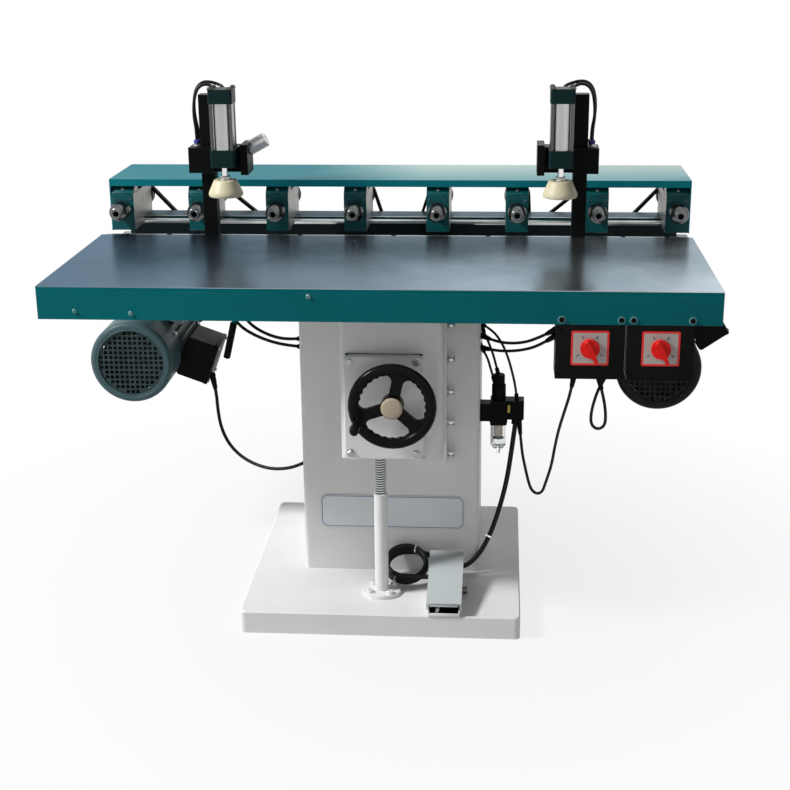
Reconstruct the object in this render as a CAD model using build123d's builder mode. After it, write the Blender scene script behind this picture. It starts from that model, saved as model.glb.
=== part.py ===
from build123d import *
import math
import os

os.makedirs("parts", exist_ok=True)

# Eight-spindle horizontal boring machine, in millimetres.
# X runs along the row of spindles, -Y faces the operator, Z is up from the floor.

# Fits
running_gap = 0.05
sliding_gap = 0.3
seat_gap = 0.02

# Base and column
base_width = 660
base_depth = 670
base_height = 55
base_corner = 14
sheet_wall = 6
drain_radius = 6
column_width = 432
column_depth = 400
column_height = 641
column_x = 12
column_front = -89
column_corner = 10
way_width = 200
way_depth = 24
way_lean = 30
way_bottom = 352
way_top_margin = 6

# Lifting screw and its nut tube
screw_x = -2
screw_y = -214
screw_radius = 13
screw_bottom = 250
screw_top = 585
screw_collar_radius = 20
screw_collar_height = 12
nut_flange_radius = 45
nut_flange_height = 9
nut_wall = 3
nut_top = 312
nut_bore_bottom = 184

# Knee
slide_width = 272
slide_x = 14
slide_thick = 34
slide_bottom = 345
slide_column_gap = 2
gib_thick = 10
gib_screw_radius = 5
gib_screw_length = 17
gib_screw_heights = (31, 110, 187, 267, 351)
knee_width = 234
knee_x = 28
knee_front = -250
knee_bottom = 412
knee_wall = 12
gear_cover_width = 183
gear_cover_x = 12.5
gear_cover_bottom = 420
gear_cover_height = 246
gear_cover_depth = 20
gear_cover_wall = 5
gear_cover_corner = 16

# Handwheel
wheel_x = 35
wheel_z = 563
wheel_plane = -315
wheel_radius = 100
rim_radius = 12
hub_radius = 26
hub_front = 14
hub_rear = 18
spoke_width = 26
spoke_depth = 11
spoke_first = 78
spoke_count = 3
spoke_hub_fillet = 7
spoke_rim_fillet = 14
wheel_shaft_radius = 10
wheel_shaft_end = -200
gear_radius = 18
gear_width = 20
grip_angle = 205
grip_pin_radius = 4
grip_length = 62
grip_radius = 12
grip_stations = ((0, 0.7), (0.25, 0.75), (0.65, 1), (0.9, 0.85), (1, 0.5))

# Table
table_length = 1500
table_depth = 552
table_front = -335
table_height = 838
table_plate = 10
apron_height = 65
apron_wall = 6
rib_height = 40
rib_places = (250, 500)
rear_opening = 250
post_rail_depth = 48
post_rail_thick = 15
post_rail_rise = 2
hose_block_width = 60
hose_block_depth = 40
hose_block_height = 48
hose_block_x = -412
lever_radius = 5.5
lever_top = (-347, 60)
lever_tip = (-409, 60)
lever_length = 268
lever_boss_radius = 15
lever_boss_height = 24

# Clamps
post_x = 466
post_width = 35
post_depth = 38
post_height = 360
post_back_margin = 5
post_corner = 2
clamp_x = 417
clamp_y = 190
cap_size = 60
cap_corner = 5
lower_cap_bottom = 180
lower_cap_height = 43
barrel_length = 113
barrel_radius = 28
barrel_bore = 25
upper_cap_height = 35
tie_rod_radius = 4
tie_rod_offset = 24
plunger_radius = 8
piston_height = 18
piston_top_margin = 6
clamp_stroke = 75
pad_radius = 43
pad_neck_radius = 32
pad_bottom = 105
pad_height = 42
pad_rim = 12
bracket_bottom = 161
bracket_height = 63
bracket_outer = 510
bracket_inner = 377
bracket_rear = 272
cheek_front = 200
cheek_gap = 1
bar_width = 18
bar_front = 190
bar_bottom = 158
bar_height = 75
lock_radius = 17
lock_length = 42
lock_z = 214
lock_y = 250
lock_tilt = 28
fitting_radius = 7
fitting_height = 14

# Switch boxes
box_left = (394, 549)
box_width = (149, 143)
box_height = 123
box_depth = 80
box_wall = 4
box_flange_height = 22
plate_width = 82
plate_height = 78
plate_thick = 2
plate_drop = 52
plate_corner = 4
knob_radius = 21
knob_base = 9
knob_grip_width = 13
knob_grip_height = 17
knob_tip_length = 19
knob_tip_width = 8
knob_shaft_radius = 4
knob_shaft_length = 14
knob_angle = -63

# Foot valve
pedal_x = 152
pedal_width = 82
pedal_front = -337
pedal_rear = -135
pedal_front_rise = 34
pedal_rear_rise = 77
pedal_sheet = 3
pedal_skirt = 17
pedal_side_gap = 1
pedal_wall_front = 15
pedal_wall_rear = 60
pedal_pin_back = 11
pedal_pin_rise = 64
pedal_pin_radius = 3.5
pedal_ear_radius = 7
valve_width = 48
valve_length = 70
valve_height = 30
valve_back = 30

# Air filter unit
unit_y = -40
unit_gap = 25
unit_width = 40
unit_depth = 44
unit_bottom = 432
unit_height = 62
unit_mount_height = 44
unit_chamfer = 4.5
regulator_radius = 17
regulator_height = 36
regulator_knob_radius = 13
regulator_knob_height = 26
side_valve_width = 41
side_valve_depth = 36
side_valve_height = 48
bowl_radius = 19
bowl_height = 63
bowl_wall = 2.5
bowl_foot_radius = 13.5
bowl_foot_rise = 7.5
bowl_drain_radius = 5
bowl_drain_length = 15

# Rails and feed cylinder
rail_pitch = 280
rail_size = 40
rail_front = 150
rail_rear = 470
gusset_thick = 12
gusset_length = 149
gusset_height = 136
feed_cap_size = 45
feed_front = 100
feed_length = 190
feed_cap_length = 30
feed_barrel_radius = 20
feed_bore = 16
feed_rod_radius = 8
feed_piston_y = 225
feed_piston_length = 15

# Carriage
saddle_front = 332
saddle_block_length = 120
saddle_side = 14
saddle_skirt = 24
saddle_roof = 20
saddle_plate = 22
saddle_margin = 30
lug_width = 50
lug_front = 365
lug_length = 25
lug_bottom_gap = 4
bed_length = 1480
bed_front = 466
bed_depth = 77
bed_height = 60
guide_bar_radius = 11
guide_bar_length = 1480
guide_bar_out = 9
guide_bar_drop = 9
idler_pin_radius = 6
idler_pin_length = 31

# Boring heads and spindles
head_first = 108
head_pitch = 205.5
head_count = 4
head_width = 59
head_front = 345
head_rear = 541
head_nose_bottom = 823
head_face_top = 917
head_top = 920
head_bevel = 4
head_bar_gap = 0.1
spindle_z = 880
spindle_radius = 10
spindle_nose = 318
chuck_front = 270
chuck_radius = 24
chuck_nose_radius = 14
chuck_cone_radius = 19
chuck_cone_length = 26
chuck_step = 2
chuck_rear_radius = 22
chuck_rear_taper = 9
chuck_bore = 8
chuck_bore_depth = 45
key_hole_radius = 3.5
key_hole_depth = 7
key_hole_y = 322
key_hole_count = 3
key_hole_first = 90
key_hole_overcut = 1
cover_length = 1515
cover_front = 345
cover_depth = 245
cover_lip = 18
cover_sheet = 3
cover_gap = 20
end_plate_bottom = 822
spacer_radius = 9
spacer_places = (425, 515)

# Motors
motor_x = 672
motor_z = 522
cowl_front = 120
cowl_radius = 107
cowl_wall = 3
cowl_length = 115
cowl_corner = 12
grille_pitch = 17
grille_hole = 11.5
grille_count = 11
grille_radius = 86
housing_radius = 92
housing_front = 215
housing_rear = 502
fin_count = 28
fin_width = 3
fin_sink = 2
rotor_radius = 14
fan_radius = 82
fan_front = 150
fan_disc = 6
fan_blade_length = 38
fan_blade_width = 4
fan_blade_count = 9
fan_blade_inset = 2
fan_hub_radius = 24
box_reach = 86
box_span = 110
box_lift = 25
box_front = 240
box_length = 120
box_corner = 8
box_tilts = (-20, 35)
foot_tilts = (70, 110)
foot_thick = 14
foot_span = 160
foot_front = 240
hanger_thick = 14
hanger_width = 180
hanger_hole = 40
hanger_reach = 96
hanger_flange = 12
hanger_flange_width = 210

# Belts
belt_front = 552
belt_width = 16
belt_thick = 8
spindle_belt_radius = 34
motor_belt_radius = 45
idler_belt_radius = 16
pulley_flange = 3.5
pulley_flange_rise = 3
idler_spots = ((-575, 792), (-367, 820), (-60, 792))

# Cords
cable_diameter = 7
hose_diameter = 8
lead_diameter = 9
pedal_hose_diameter = 12
unit_tube_diameter = 6
gland_length = 18
gland_ratio = 1.7
cord_bend_share = 0.45
drawn_table_height = 838
coil_center_x = 53
coil_radius = 48
coil_lean = 28.4
coil_turns = 2.5
coil_gap = 0.8
coil_touch = 0.5
coil_run_in = 40
coil_check_steps = 48

# Heights and places that follow from the sizes above
column_top = base_height + column_height
column_rear = column_front + column_depth
column_mid = column_front + column_depth / 2
column_side = column_x + column_width / 2
way_front = column_front - way_depth
slide_rear = column_front - slide_column_gap
slide_front = slide_rear - slide_thick
table_under = table_height - table_plate
table_rear = table_front + table_depth
apron_bottom = table_under - apron_height
post_rail_top = table_under + post_rail_rise
post_front = table_rear + post_rail_depth - post_back_margin - post_depth
post_rear = post_front + post_depth
clamp_rear = clamp_y + cap_size / 2
cap_base = table_height + lower_cap_bottom
lower_cap_top = cap_base + lower_cap_height
upper_cap_bottom = lower_cap_top + barrel_length
pad_base = table_height + pad_bottom
bracket_base = table_height + bracket_bottom
bracket_top = bracket_base + bracket_height
bar_base = table_height + bar_bottom
box_rear = table_front + box_depth
box_bottom = apron_bottom - box_height
switch_z = apron_bottom - plate_drop
knob_seat = table_front - plate_thick - sliding_gap
rail_top = column_top + rail_size
feed_z = column_top + feed_cap_size / 2
feed_rear = feed_front + feed_length
saddle_top = rail_top + saddle_roof + saddle_plate
bed_rear = bed_front + bed_depth
bed_top = saddle_top + bed_height
guide_bar_y = bed_front - guide_bar_out
guide_bar_z = bed_top - guide_bar_drop
head_places = [head_first + head_pitch * step for step in range(head_count)]
spindle_places = [-place for place in reversed(head_places)] + head_places
belt_rear = belt_front + belt_width
pulley_front = belt_front - sliding_gap - pulley_flange
pulley_rear = belt_rear + sliding_gap + pulley_flange
fin_radius = cowl_radius - cowl_wall - sliding_gap
unit_left = column_side + unit_gap
unit_top = unit_bottom + unit_height
unit_right = unit_left + unit_width
unit_x = unit_left + unit_width / 2
pedal_plate_front = base_height + pedal_front_rise
pedal_plate_rear = base_height + pedal_rear_rise
pedal_base_width = pedal_width - 2 * (pedal_sheet + pedal_side_gap)
pedal_pin_y = pedal_rear - pedal_pin_back
pedal_pin_z = base_height + pedal_pin_rise


def front_plane(y):
    """Sketch plane facing the operator: local x is X and local y is Z."""
    return Plane(origin=(0, y, 0), x_dir=(1, 0, 0), z_dir=(0, -1, 0))


def side_plane(x):
    """Sketch plane facing +X: local x is Y and local y is Z."""
    return Plane(origin=(x, 0, 0), x_dir=(0, 1, 0), z_dir=(1, 0, 0))


def block(x, y, z, mode=Mode.ADD):
    """Box between the two limits given along each axis."""
    sizes = [limits[1] - limits[0] for limits in (x, y, z)]
    with Locations(tuple(sum(limits) / 2 for limits in (x, y, z))):
        Box(*sizes, mode=mode)


def rod(start, end, radius, mode=Mode.ADD, end_radius=None):
    """Round bar or cone between two points."""
    first = Vector(*start)
    run = Vector(*end) - first
    with Locations(Plane(origin=first, z_dir=run)):
        if end_radius is None:
            Cylinder(radius, run.length, align=(Align.CENTER, Align.CENTER, Align.MIN), mode=mode)
        else:
            Cone(radius, end_radius, run.length, align=(Align.CENTER, Align.CENTER, Align.MIN), mode=mode)


def rod_y(x, z, y, radius, mode=Mode.ADD):
    """Round bar along Y between two limits."""
    rod((x, y[0], z), (x, y[1], z), radius, mode)


def rod_z(x, y, z, radius, mode=Mode.ADD):
    """Round bar along Z between two limits."""
    rod((x, y, z[0]), (x, y, z[1]), radius, mode)


def turned_y(x, z, outline):
    """Turned solid about a Y axis from points of radius and Y."""
    with BuildSketch(Plane(origin=(x, 0, z), x_dir=(1, 0, 0), z_dir=(0, 0, 1))) as profile:
        with BuildLine():
            Polyline(*outline, close=True)
        make_face()
    revolve(profile.sketch, axis=Axis((x, 0, z), (0, 1, 0)))


def turned_z(x, y, outline):
    """Turned solid about a Z axis from points of radius and Z."""
    with BuildSketch(Plane(origin=(x, y, 0), x_dir=(1, 0, 0), z_dir=(0, -1, 0))) as profile:
        with BuildLine():
            Polyline(*outline, close=True)
        make_face()
    revolve(profile.sketch, axis=Axis((x, y, 0), (0, 0, 1)))


def gland(route, diameter, at_end=False):
    """Round gland that a cord comes out of, behind the first or last point of its route."""
    points = list(reversed(route)) if at_end else route
    tip = Vector(*points[0])
    back = (tip - Vector(*points[1])).normalized() * gland_length
    rod(tuple(tip + back), tuple(tip), diameter * gland_ratio / 2)


def cord_radii(route):
    """Largest arc at each corner of a route that leaves room for its neighbours."""
    points = [Vector(*point) for point in route]
    radii = []
    for before, corner, after in zip(points, points[1:], points[2:]):
        into = corner - before
        out = after - corner
        turn = math.radians(into.get_angle(out))
        radii.append(cord_bend_share * min(into.length, out.length) / math.tan(turn / 2))
    return radii


def cord(name, route, diameter):
    """Tube of straight runs and tangent arcs along a route."""
    radii = cord_radii(route)
    with BuildLine() as line:
        FilletPolyline(*route, radius=radii)
    wire = line.wire()
    with BuildSketch(Plane(origin=wire @ 0, z_dir=wire % 0)) as section:
        Circle(diameter / 2)
    tube = sweep(section.sketch, path=wire)
    share = tube.volume / (math.pi * diameter ** 2 / 4 * wire.length)
    print(f"{name}: length {wire.length:.0f}, least radius {min(radii):.0f}, volume share {share:.4f}")


def mirrored(route):
    """Route on the other side of the machine."""
    return [(-x, y, z) for x, y, z in route]


def raised(route):
    """Route that goes up and down with the table."""
    return [(x, y, z + table_height - drawn_table_height) for x, y, z in route]


def hung(route):
    """Route whose first end goes up and down with the table and whose last end stays."""
    steps = len(route) - 1
    lift = table_height - drawn_table_height
    return [(x, y, z + lift * (steps - index) / steps) for index, (x, y, z) in enumerate(route)]


# Routes of the cords, each from one end to the other
coil_tilt = math.radians(coil_lean)
coil_across = Vector(0, math.cos(coil_tilt), math.sin(coil_tilt))
coil_normal = Vector(0, -math.sin(coil_tilt), math.cos(coil_tilt))
coil_half = pedal_hose_diameter / 2 + coil_touch
coil_center = Vector(
    coil_center_x,
    column_front - coil_half - coil_radius * coil_across.Y,
    base_height + coil_half + coil_radius * coil_across.Z,
)
coil_pitch = pedal_hose_diameter + coil_gap
coil_start = coil_center + coil_across * coil_radius
coil_lead = Vector(pedal_hose_diameter, 0, 0)
box_cable_routes = [
    hung([
        (388, -275, 731), (363, -238, 706), (330, -192, 680),
        (293, -146, 664), (262, -103, 657), (238, -66, 656),
    ]),
    hung([
        (388, -273, 715), (363, -236, 687), (330, -190, 662),
        (293, -146, 645), (262, -103, 634), (238, -66, 628),
    ]),
]
power_lead_route = hung([
    (437, -292, 626), (432, -280, 588), (422, -258, 540),
    (411, -231, 486), (404, -205, 432), (399, -184, 382),
    (391, -165, 342), (385, -153, 316), (381, -147, 299),
    (372, -140, 288), (361, -131, 287), (352, -124, 296),
    (346, -117, 313), (339, -106, 340), (332, -91, 368), (328, -75, 397), (324, -58, 432),
])
switch_loop_route = raised([
    (494, -300, 626), (501, -299, 600), (508, -298, 570),
    (511, -296, 545), (511, -295, 526), (507, -294, 516),
    (499, -292, 510), (490, -290, 510), (482, -288, 517),
    (479, -287, 528), (480, -285, 548), (486, -283, 575),
    (495, -281, 602), (505, -280, 626),
])
left_hose_routes = [
    hung([
        (-420, 185, 766), (-420, 184, 738), (-418, 172, 706),
        (-412, 148, 676), (-400, 114, 652), (-375, 81, 634),
        (-337, 55, 620), (-295, 38, 609), (-253, 26, 603), (-214, 18, 602),
    ]),
    hung([
        (-402, 185, 766), (-402, 184, 738), (-398, 171, 706),
        (-389, 147, 678), (-374, 114, 656), (-348, 82, 638),
        (-313, 58, 625), (-277, 40, 618), (-244, 27, 618), (-214, 17, 623),
    ]),
]
clamp_hose_routes = [
    raised([
        (418, 226, 1196), (420, 242, 1203), (428, 253, 1209),
        (442, 258, 1214), (458, 259, 1218), (474, 259, 1218),
        (488, 258, 1210), (497, 256, 1192), (501, 255, 1162),
        (499, 254, 1130), (493, 254, 1102), (493, 254, 1076),
    ]),
    raised([
        (438, 226, 1194), (442, 236, 1203), (451, 240, 1210),
        (463, 241, 1214), (476, 240, 1212), (487, 239, 1203),
        (494, 238, 1186), (498, 237, 1160), (498, 236, 1130), (494, 236, 1102), (494, 236, 1076),
    ]),
]
motor_lead_route = [
    (-490, 266, 434), (-483, 263, 398), (-480, 256, 355),
    (-472, 243, 312), (-452, 226, 272), (-418, 206, 242),
    (-374, 184, 225), (-326, 164, 220), (-280, 146, 229), (-242, 130, 247), (-214, 118, 266),
]
pedal_hose_route = [
    (314, -40, 430), (310, -41, 396), (304, -43, 346), (297, -46, 294), (286, -52, 242), (272, -62, 193),
    (255, -77, 148), (232, -95, 109), (203, -110, 82), (171, -114, 75), (141, -109, 84),
    (115, -100, 97),
    tuple(coil_start + Vector(coil_run_in, 0, 0)), tuple(coil_start + coil_lead),
]
unit_tube_routes = [
    [(233, 6, 653), (246, -6, 627), (259, -18, 597), (267, -28, 568)],
    [(233, 0, 605), (244, -6, 588), (251, -14, 566), (258, -22, 545)],
    [
        (233, -30, 676), (256, -34, 664), (278, -40, 636), (294, -44, 600),
        (305, -45, 560), (312, -45, 530), (315, -45, 508),
    ],
]


# Base shell, a closed folded box with a drain hole in its floor
with BuildPart() as base_shell:
    with BuildSketch():
        RectangleRounded(base_width, base_depth, base_corner)
    extrude(amount=base_height)
    chamfer(base_shell.faces().sort_by(Axis.Z)[-1].edges(), sheet_wall / 2)
    with BuildSketch(Plane.XY.offset(sheet_wall)):
        RectangleRounded(base_width - 2 * sheet_wall, base_depth - 2 * sheet_wall, base_corner - sheet_wall)
    extrude(amount=base_height - 2 * sheet_wall, mode=Mode.SUBTRACT)
    rod_z(column_x, column_mid, (0, sheet_wall), drain_radius, Mode.SUBTRACT)
base_shell.part.label = "base_shell"
export_step(base_shell.part, "parts/base_shell.step")

# Column shell with the dovetail way on its front
way_inset = way_depth * math.tan(math.radians(way_lean))
with BuildPart() as column_shell:
    with BuildSketch(Plane.XY.offset(base_height)):
        with Locations((column_x, column_mid)):
            RectangleRounded(column_width, column_depth, column_corner)
    extrude(amount=column_height)
    with BuildSketch(Plane.XY.offset(base_height + sheet_wall)):
        with Locations((column_x, column_mid)):
            RectangleRounded(
                column_width - 2 * sheet_wall, column_depth - 2 * sheet_wall, column_corner - sheet_wall
            )
    extrude(amount=column_height - 2 * sheet_wall, mode=Mode.SUBTRACT)
    rod_z(column_x, column_mid, (base_height, base_height + sheet_wall), drain_radius, Mode.SUBTRACT)
    with BuildSketch(Plane.XY.offset(way_bottom)):
        with BuildLine():
            Polyline(
                (column_x - way_width / 2 + way_inset, column_front),
                (column_x - way_width / 2, way_front),
                (column_x + way_width / 2, way_front),
                (column_x + way_width / 2 - way_inset, column_front),
                close=True,
            )
        make_face()
    extrude(amount=column_top - way_top_margin - way_bottom)
    for route in unit_tube_routes:
        gland(route, unit_tube_diameter)
    for route in box_cable_routes:
        gland(route, cable_diameter, at_end=True)
    for route in left_hose_routes:
        gland(route, hose_diameter, at_end=True)
    gland(motor_lead_route, lead_diameter, at_end=True)
column_shell.part.label = "column_shell"
export_step(column_shell.part, "parts/column_shell.step")

# Nut tube that the lifting screw turns in, on a flange
with BuildPart() as nut_tube:
    nut_bore = screw_radius + sliding_gap
    turned_z(screw_x, screw_y, [
        (0, base_height),
        (nut_flange_radius, base_height),
        (nut_flange_radius, base_height + nut_flange_height),
        (nut_bore + nut_wall, base_height + nut_flange_height),
        (nut_bore + nut_wall, nut_top),
        (nut_bore, nut_top),
        (nut_bore, nut_bore_bottom),
        (0, nut_bore_bottom),
    ])
nut_tube.part.label = "nut_tube"
export_step(nut_tube.part, "parts/nut_tube.step")

# Two rails on the column top, each with a gusset behind the column
with BuildPart() as guide_rails:
    for side in (-1, 1):
        rail_x = column_x + side * rail_pitch / 2
        block(
            (rail_x - rail_size / 2, rail_x + rail_size / 2),
            (rail_front, rail_rear),
            (column_top, rail_top),
        )
        with BuildSketch(side_plane(rail_x - gusset_thick / 2)):
            with BuildLine():
                Polyline(
                    (column_rear, column_top),
                    (column_rear + gusset_length, column_top),
                    (column_rear, column_top - gusset_height),
                    close=True,
                )
            make_face()
        extrude(amount=gusset_thick)
guide_rails.part.label = "guide_rails"
export_step(guide_rails.part, "parts/guide_rails.step")

# Air cylinder that feeds the carriage, on the column top
with BuildPart() as feed_cylinder:
    for cap_start in (feed_front, feed_rear - feed_cap_length):
        block(
            (column_x - feed_cap_size / 2, column_x + feed_cap_size / 2),
            (cap_start, cap_start + feed_cap_length),
            (column_top, column_top + feed_cap_size),
        )
    rod_y(column_x, feed_z, (feed_front + feed_cap_length, feed_rear - feed_cap_length), feed_barrel_radius)
    bore_span = (feed_front + feed_cap_length, feed_rear - feed_cap_length)
    rod_y(column_x, feed_z, bore_span, feed_bore, Mode.SUBTRACT)
    rod_hole = feed_rod_radius + running_gap
    rod_y(column_x, feed_z, (feed_rear - feed_cap_length, feed_rear), rod_hole, Mode.SUBTRACT)
feed_cylinder.part.label = "feed_cylinder"
export_step(feed_cylinder.part, "parts/feed_cylinder.step")

# Air filter, regulator and valve on the column's right side
with BuildPart() as air_filter_unit:
    mount_rise = (unit_height - unit_mount_height) / 2
    block(
        (column_side, unit_left),
        (unit_y - side_valve_depth / 2, unit_y + side_valve_depth / 2),
        (unit_bottom + mount_rise, unit_top - mount_rise),
    )
    block(
        (unit_left, unit_right),
        (unit_y - unit_depth / 2, unit_y + unit_depth / 2),
        (unit_bottom, unit_top),
    )
    chamfer(air_filter_unit.edges().filter_by(Axis.Z).group_by(Axis.X)[-1], unit_chamfer)
    block(
        (unit_right, unit_right + side_valve_width),
        (unit_y - side_valve_depth / 2, unit_y + side_valve_depth / 2),
        (unit_top - side_valve_height, unit_top),
    )
    rod_z(unit_x, unit_y, (unit_top, unit_top + regulator_height), regulator_radius)
    rod_z(
        unit_x,
        unit_y,
        (unit_top + regulator_height, unit_top + regulator_height + regulator_knob_height),
        regulator_knob_radius,
    )
    gland(pedal_hose_route, pedal_hose_diameter)
    gland(power_lead_route, cable_diameter, at_end=True)
    for route in unit_tube_routes:
        gland(route, unit_tube_diameter, at_end=True)
air_filter_unit.part.label = "air_filter_unit"
export_step(air_filter_unit.part, "parts/air_filter_unit.step")

# Clear bowl under the filter
with BuildPart() as filter_bowl:
    bowl_bottom = unit_bottom - bowl_height
    turned_z(unit_x, unit_y, [
        (0, bowl_bottom - bowl_drain_length),
        (bowl_drain_radius, bowl_bottom - bowl_drain_length),
        (bowl_drain_radius, bowl_bottom),
        (bowl_foot_radius, bowl_bottom),
        (bowl_radius, bowl_bottom + bowl_foot_rise),
        (bowl_radius, unit_bottom),
        (bowl_radius - bowl_wall, unit_bottom),
        (bowl_radius - bowl_wall, bowl_bottom + bowl_foot_rise + bowl_wall),
        (0, bowl_bottom + bowl_wall),
    ])
filter_bowl.part.label = "filter_bowl"
export_step(filter_bowl.part, "parts/filter_bowl.step")

# Foot valve base, an open channel with the valve inside and ears for the pedal pin
with BuildPart() as pedal_base:
    block(
        (pedal_x - pedal_base_width / 2, pedal_x + pedal_base_width / 2),
        (pedal_front, pedal_rear),
        (base_height, base_height + pedal_sheet),
    )
    for side in (-1, 1):
        wall_x = pedal_x + side * (pedal_base_width - pedal_sheet) / 2
        with BuildSketch(side_plane(wall_x - pedal_sheet / 2)):
            with BuildLine():
                Polyline(
                    (pedal_front, base_height),
                    (pedal_rear, base_height),
                    (pedal_rear, base_height + pedal_wall_rear),
                    (pedal_pin_y - pedal_pin_back, base_height + pedal_wall_rear),
                    (pedal_front, base_height + pedal_wall_front),
                    close=True,
                )
            make_face()
            with Locations((pedal_pin_y, pedal_pin_z)):
                Circle(pedal_ear_radius)
                Circle(pedal_pin_radius + running_gap, mode=Mode.SUBTRACT)
        extrude(amount=pedal_sheet)
    block(
        (pedal_x - valve_width / 2, pedal_x + valve_width / 2),
        (pedal_rear - valve_back - valve_length, pedal_rear - valve_back),
        (base_height + pedal_sheet, base_height + pedal_sheet + valve_height),
    )
pedal_base.part.label = "pedal_base"
export_step(pedal_base.part, "parts/pedal_base.step")

# Pedal, a folded cover that swings on a pin at its rear
with BuildPart() as pedal_plate:
    pedal_inside = pedal_width - 2 * pedal_sheet
    for drop, width, mode in ((0, pedal_width, Mode.ADD), (pedal_sheet, pedal_inside, Mode.SUBTRACT)):
        with BuildSketch(side_plane(pedal_x - width / 2)):
            with BuildLine():
                Polyline(
                    (pedal_front, pedal_plate_front - drop),
                    (pedal_rear, pedal_plate_rear - drop),
                    (pedal_rear, pedal_plate_rear - pedal_skirt),
                    (pedal_front, pedal_plate_front - pedal_skirt),
                    close=True,
                )
            make_face()
        extrude(amount=width, mode=mode)
    rod(
        (pedal_x - pedal_width / 2, pedal_pin_y, pedal_pin_z),
        (pedal_x + pedal_width / 2, pedal_pin_y, pedal_pin_z),
        pedal_pin_radius,
    )
pedal_plate.part.label = "pedal_plate"
export_step(pedal_plate.part, "parts/pedal_plate.step")

# Knee, a slide with a dovetail groove and a hollow box in front
groove_floor = way_front - sliding_gap
groove_inset = (slide_rear - groove_floor) * math.tan(math.radians(way_lean))
groove_left = column_x - way_width / 2 - sliding_gap
groove_right = column_x + way_width / 2 + gib_thick
with BuildPart() as knee_slide:
    block(
        (slide_x - slide_width / 2, slide_x + slide_width / 2),
        (slide_front, slide_rear),
        (slide_bottom, table_under),
    )
    block(
        (knee_x - knee_width / 2, knee_x + knee_width / 2),
        (knee_front, slide_front),
        (knee_bottom, table_under),
    )
    fillet(knee_slide.edges().filter_by(Axis.Z).group_by(Axis.Y)[0], knee_wall)
    block(
        (knee_x - knee_width / 2 + knee_wall, knee_x + knee_width / 2 - knee_wall),
        (knee_front + knee_wall, slide_front),
        (knee_bottom + knee_wall, table_under - knee_wall),
        Mode.SUBTRACT,
    )
    with BuildSketch(Plane.XY.offset(slide_bottom)):
        with BuildLine():
            Polyline(
                (groove_left, groove_floor),
                (groove_right, groove_floor),
                (groove_right - groove_inset, slide_rear),
                (groove_left + groove_inset, slide_rear),
                close=True,
            )
        make_face()
    extrude(amount=table_under - slide_bottom, mode=Mode.SUBTRACT)
    screw_hole = screw_radius + running_gap
    shaft_hole = wheel_shaft_radius + running_gap
    rod_z(screw_x, screw_y, (knee_bottom, knee_bottom + knee_wall), screw_hole, Mode.SUBTRACT)
    rod_y(wheel_x, wheel_z, (knee_front, knee_front + knee_wall), shaft_hole, Mode.SUBTRACT)
knee_slide.part.label = "knee_slide"
export_step(knee_slide.part, "parts/knee_slide.step")

# Gib strip in the dovetail and the heads of its set screws
with BuildPart() as gib_strip:
    with BuildSketch(Plane.XY.offset(slide_bottom)):
        with BuildLine():
            Polyline(
                (groove_right - gib_thick + sliding_gap, groove_floor),
                (groove_right, groove_floor),
                (groove_right - groove_inset, slide_rear),
                (groove_right - gib_thick + sliding_gap - groove_inset, slide_rear),
                close=True,
            )
        make_face()
    extrude(amount=table_under - slide_bottom)
    screw_seat = slide_x + slide_width / 2
    for rise in gib_screw_heights:
        rod(
            (screw_seat, (slide_front + slide_rear) / 2, slide_bottom + rise),
            (screw_seat + gib_screw_length, (slide_front + slide_rear) / 2, slide_bottom + rise),
            gib_screw_radius,
        )
gib_strip.part.label = "gib_strip"
export_step(gib_strip.part, "parts/gib_strip.step")

# Gear cover, a pan on the front of the knee
with BuildPart() as gear_cover:
    cover_mid = gear_cover_bottom + gear_cover_height / 2
    with BuildSketch(front_plane(knee_front)):
        with Locations((gear_cover_x, cover_mid)):
            RectangleRounded(gear_cover_width, gear_cover_height, gear_cover_corner)
    extrude(amount=gear_cover_depth)
    chamfer(gear_cover.faces().sort_by(Axis.Y)[0].edges(), gear_cover_wall / 2)
    with BuildSketch(front_plane(knee_front)):
        with Locations((gear_cover_x, cover_mid)):
            RectangleRounded(
                gear_cover_width - 4 * gear_cover_wall,
                gear_cover_height - 4 * gear_cover_wall,
                gear_cover_corner - 2 * gear_cover_wall,
            )
    extrude(amount=gear_cover_depth - gear_cover_wall, mode=Mode.SUBTRACT)
    rod_y(
        wheel_x,
        wheel_z,
        (knee_front - gear_cover_depth, knee_front),
        wheel_shaft_radius + sliding_gap,
        Mode.SUBTRACT,
    )
gear_cover.part.label = "gear_cover"
export_step(gear_cover.part, "parts/gear_cover.step")

def spoke_corners(corners, reach):
    """Corners where the spokes' sides meet the circle of that radius about the wheel's centre."""
    found = []
    for corner in corners:
        across = corner.X - wheel_x
        rise = corner.Y - wheel_z
        for number in range(spoke_count):
            angle = math.radians(spoke_first + 360 * number / spoke_count)
            along = across * math.cos(angle) + rise * math.sin(angle)
            aside = rise * math.cos(angle) - across * math.sin(angle)
            on_side = math.isclose(abs(aside), spoke_width / 2, abs_tol=seat_gap)
            on_circle = math.isclose(math.hypot(along, aside), reach, abs_tol=seat_gap)
            if along > 0 and on_side and on_circle:
                found.append(corner)
    return found


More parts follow.
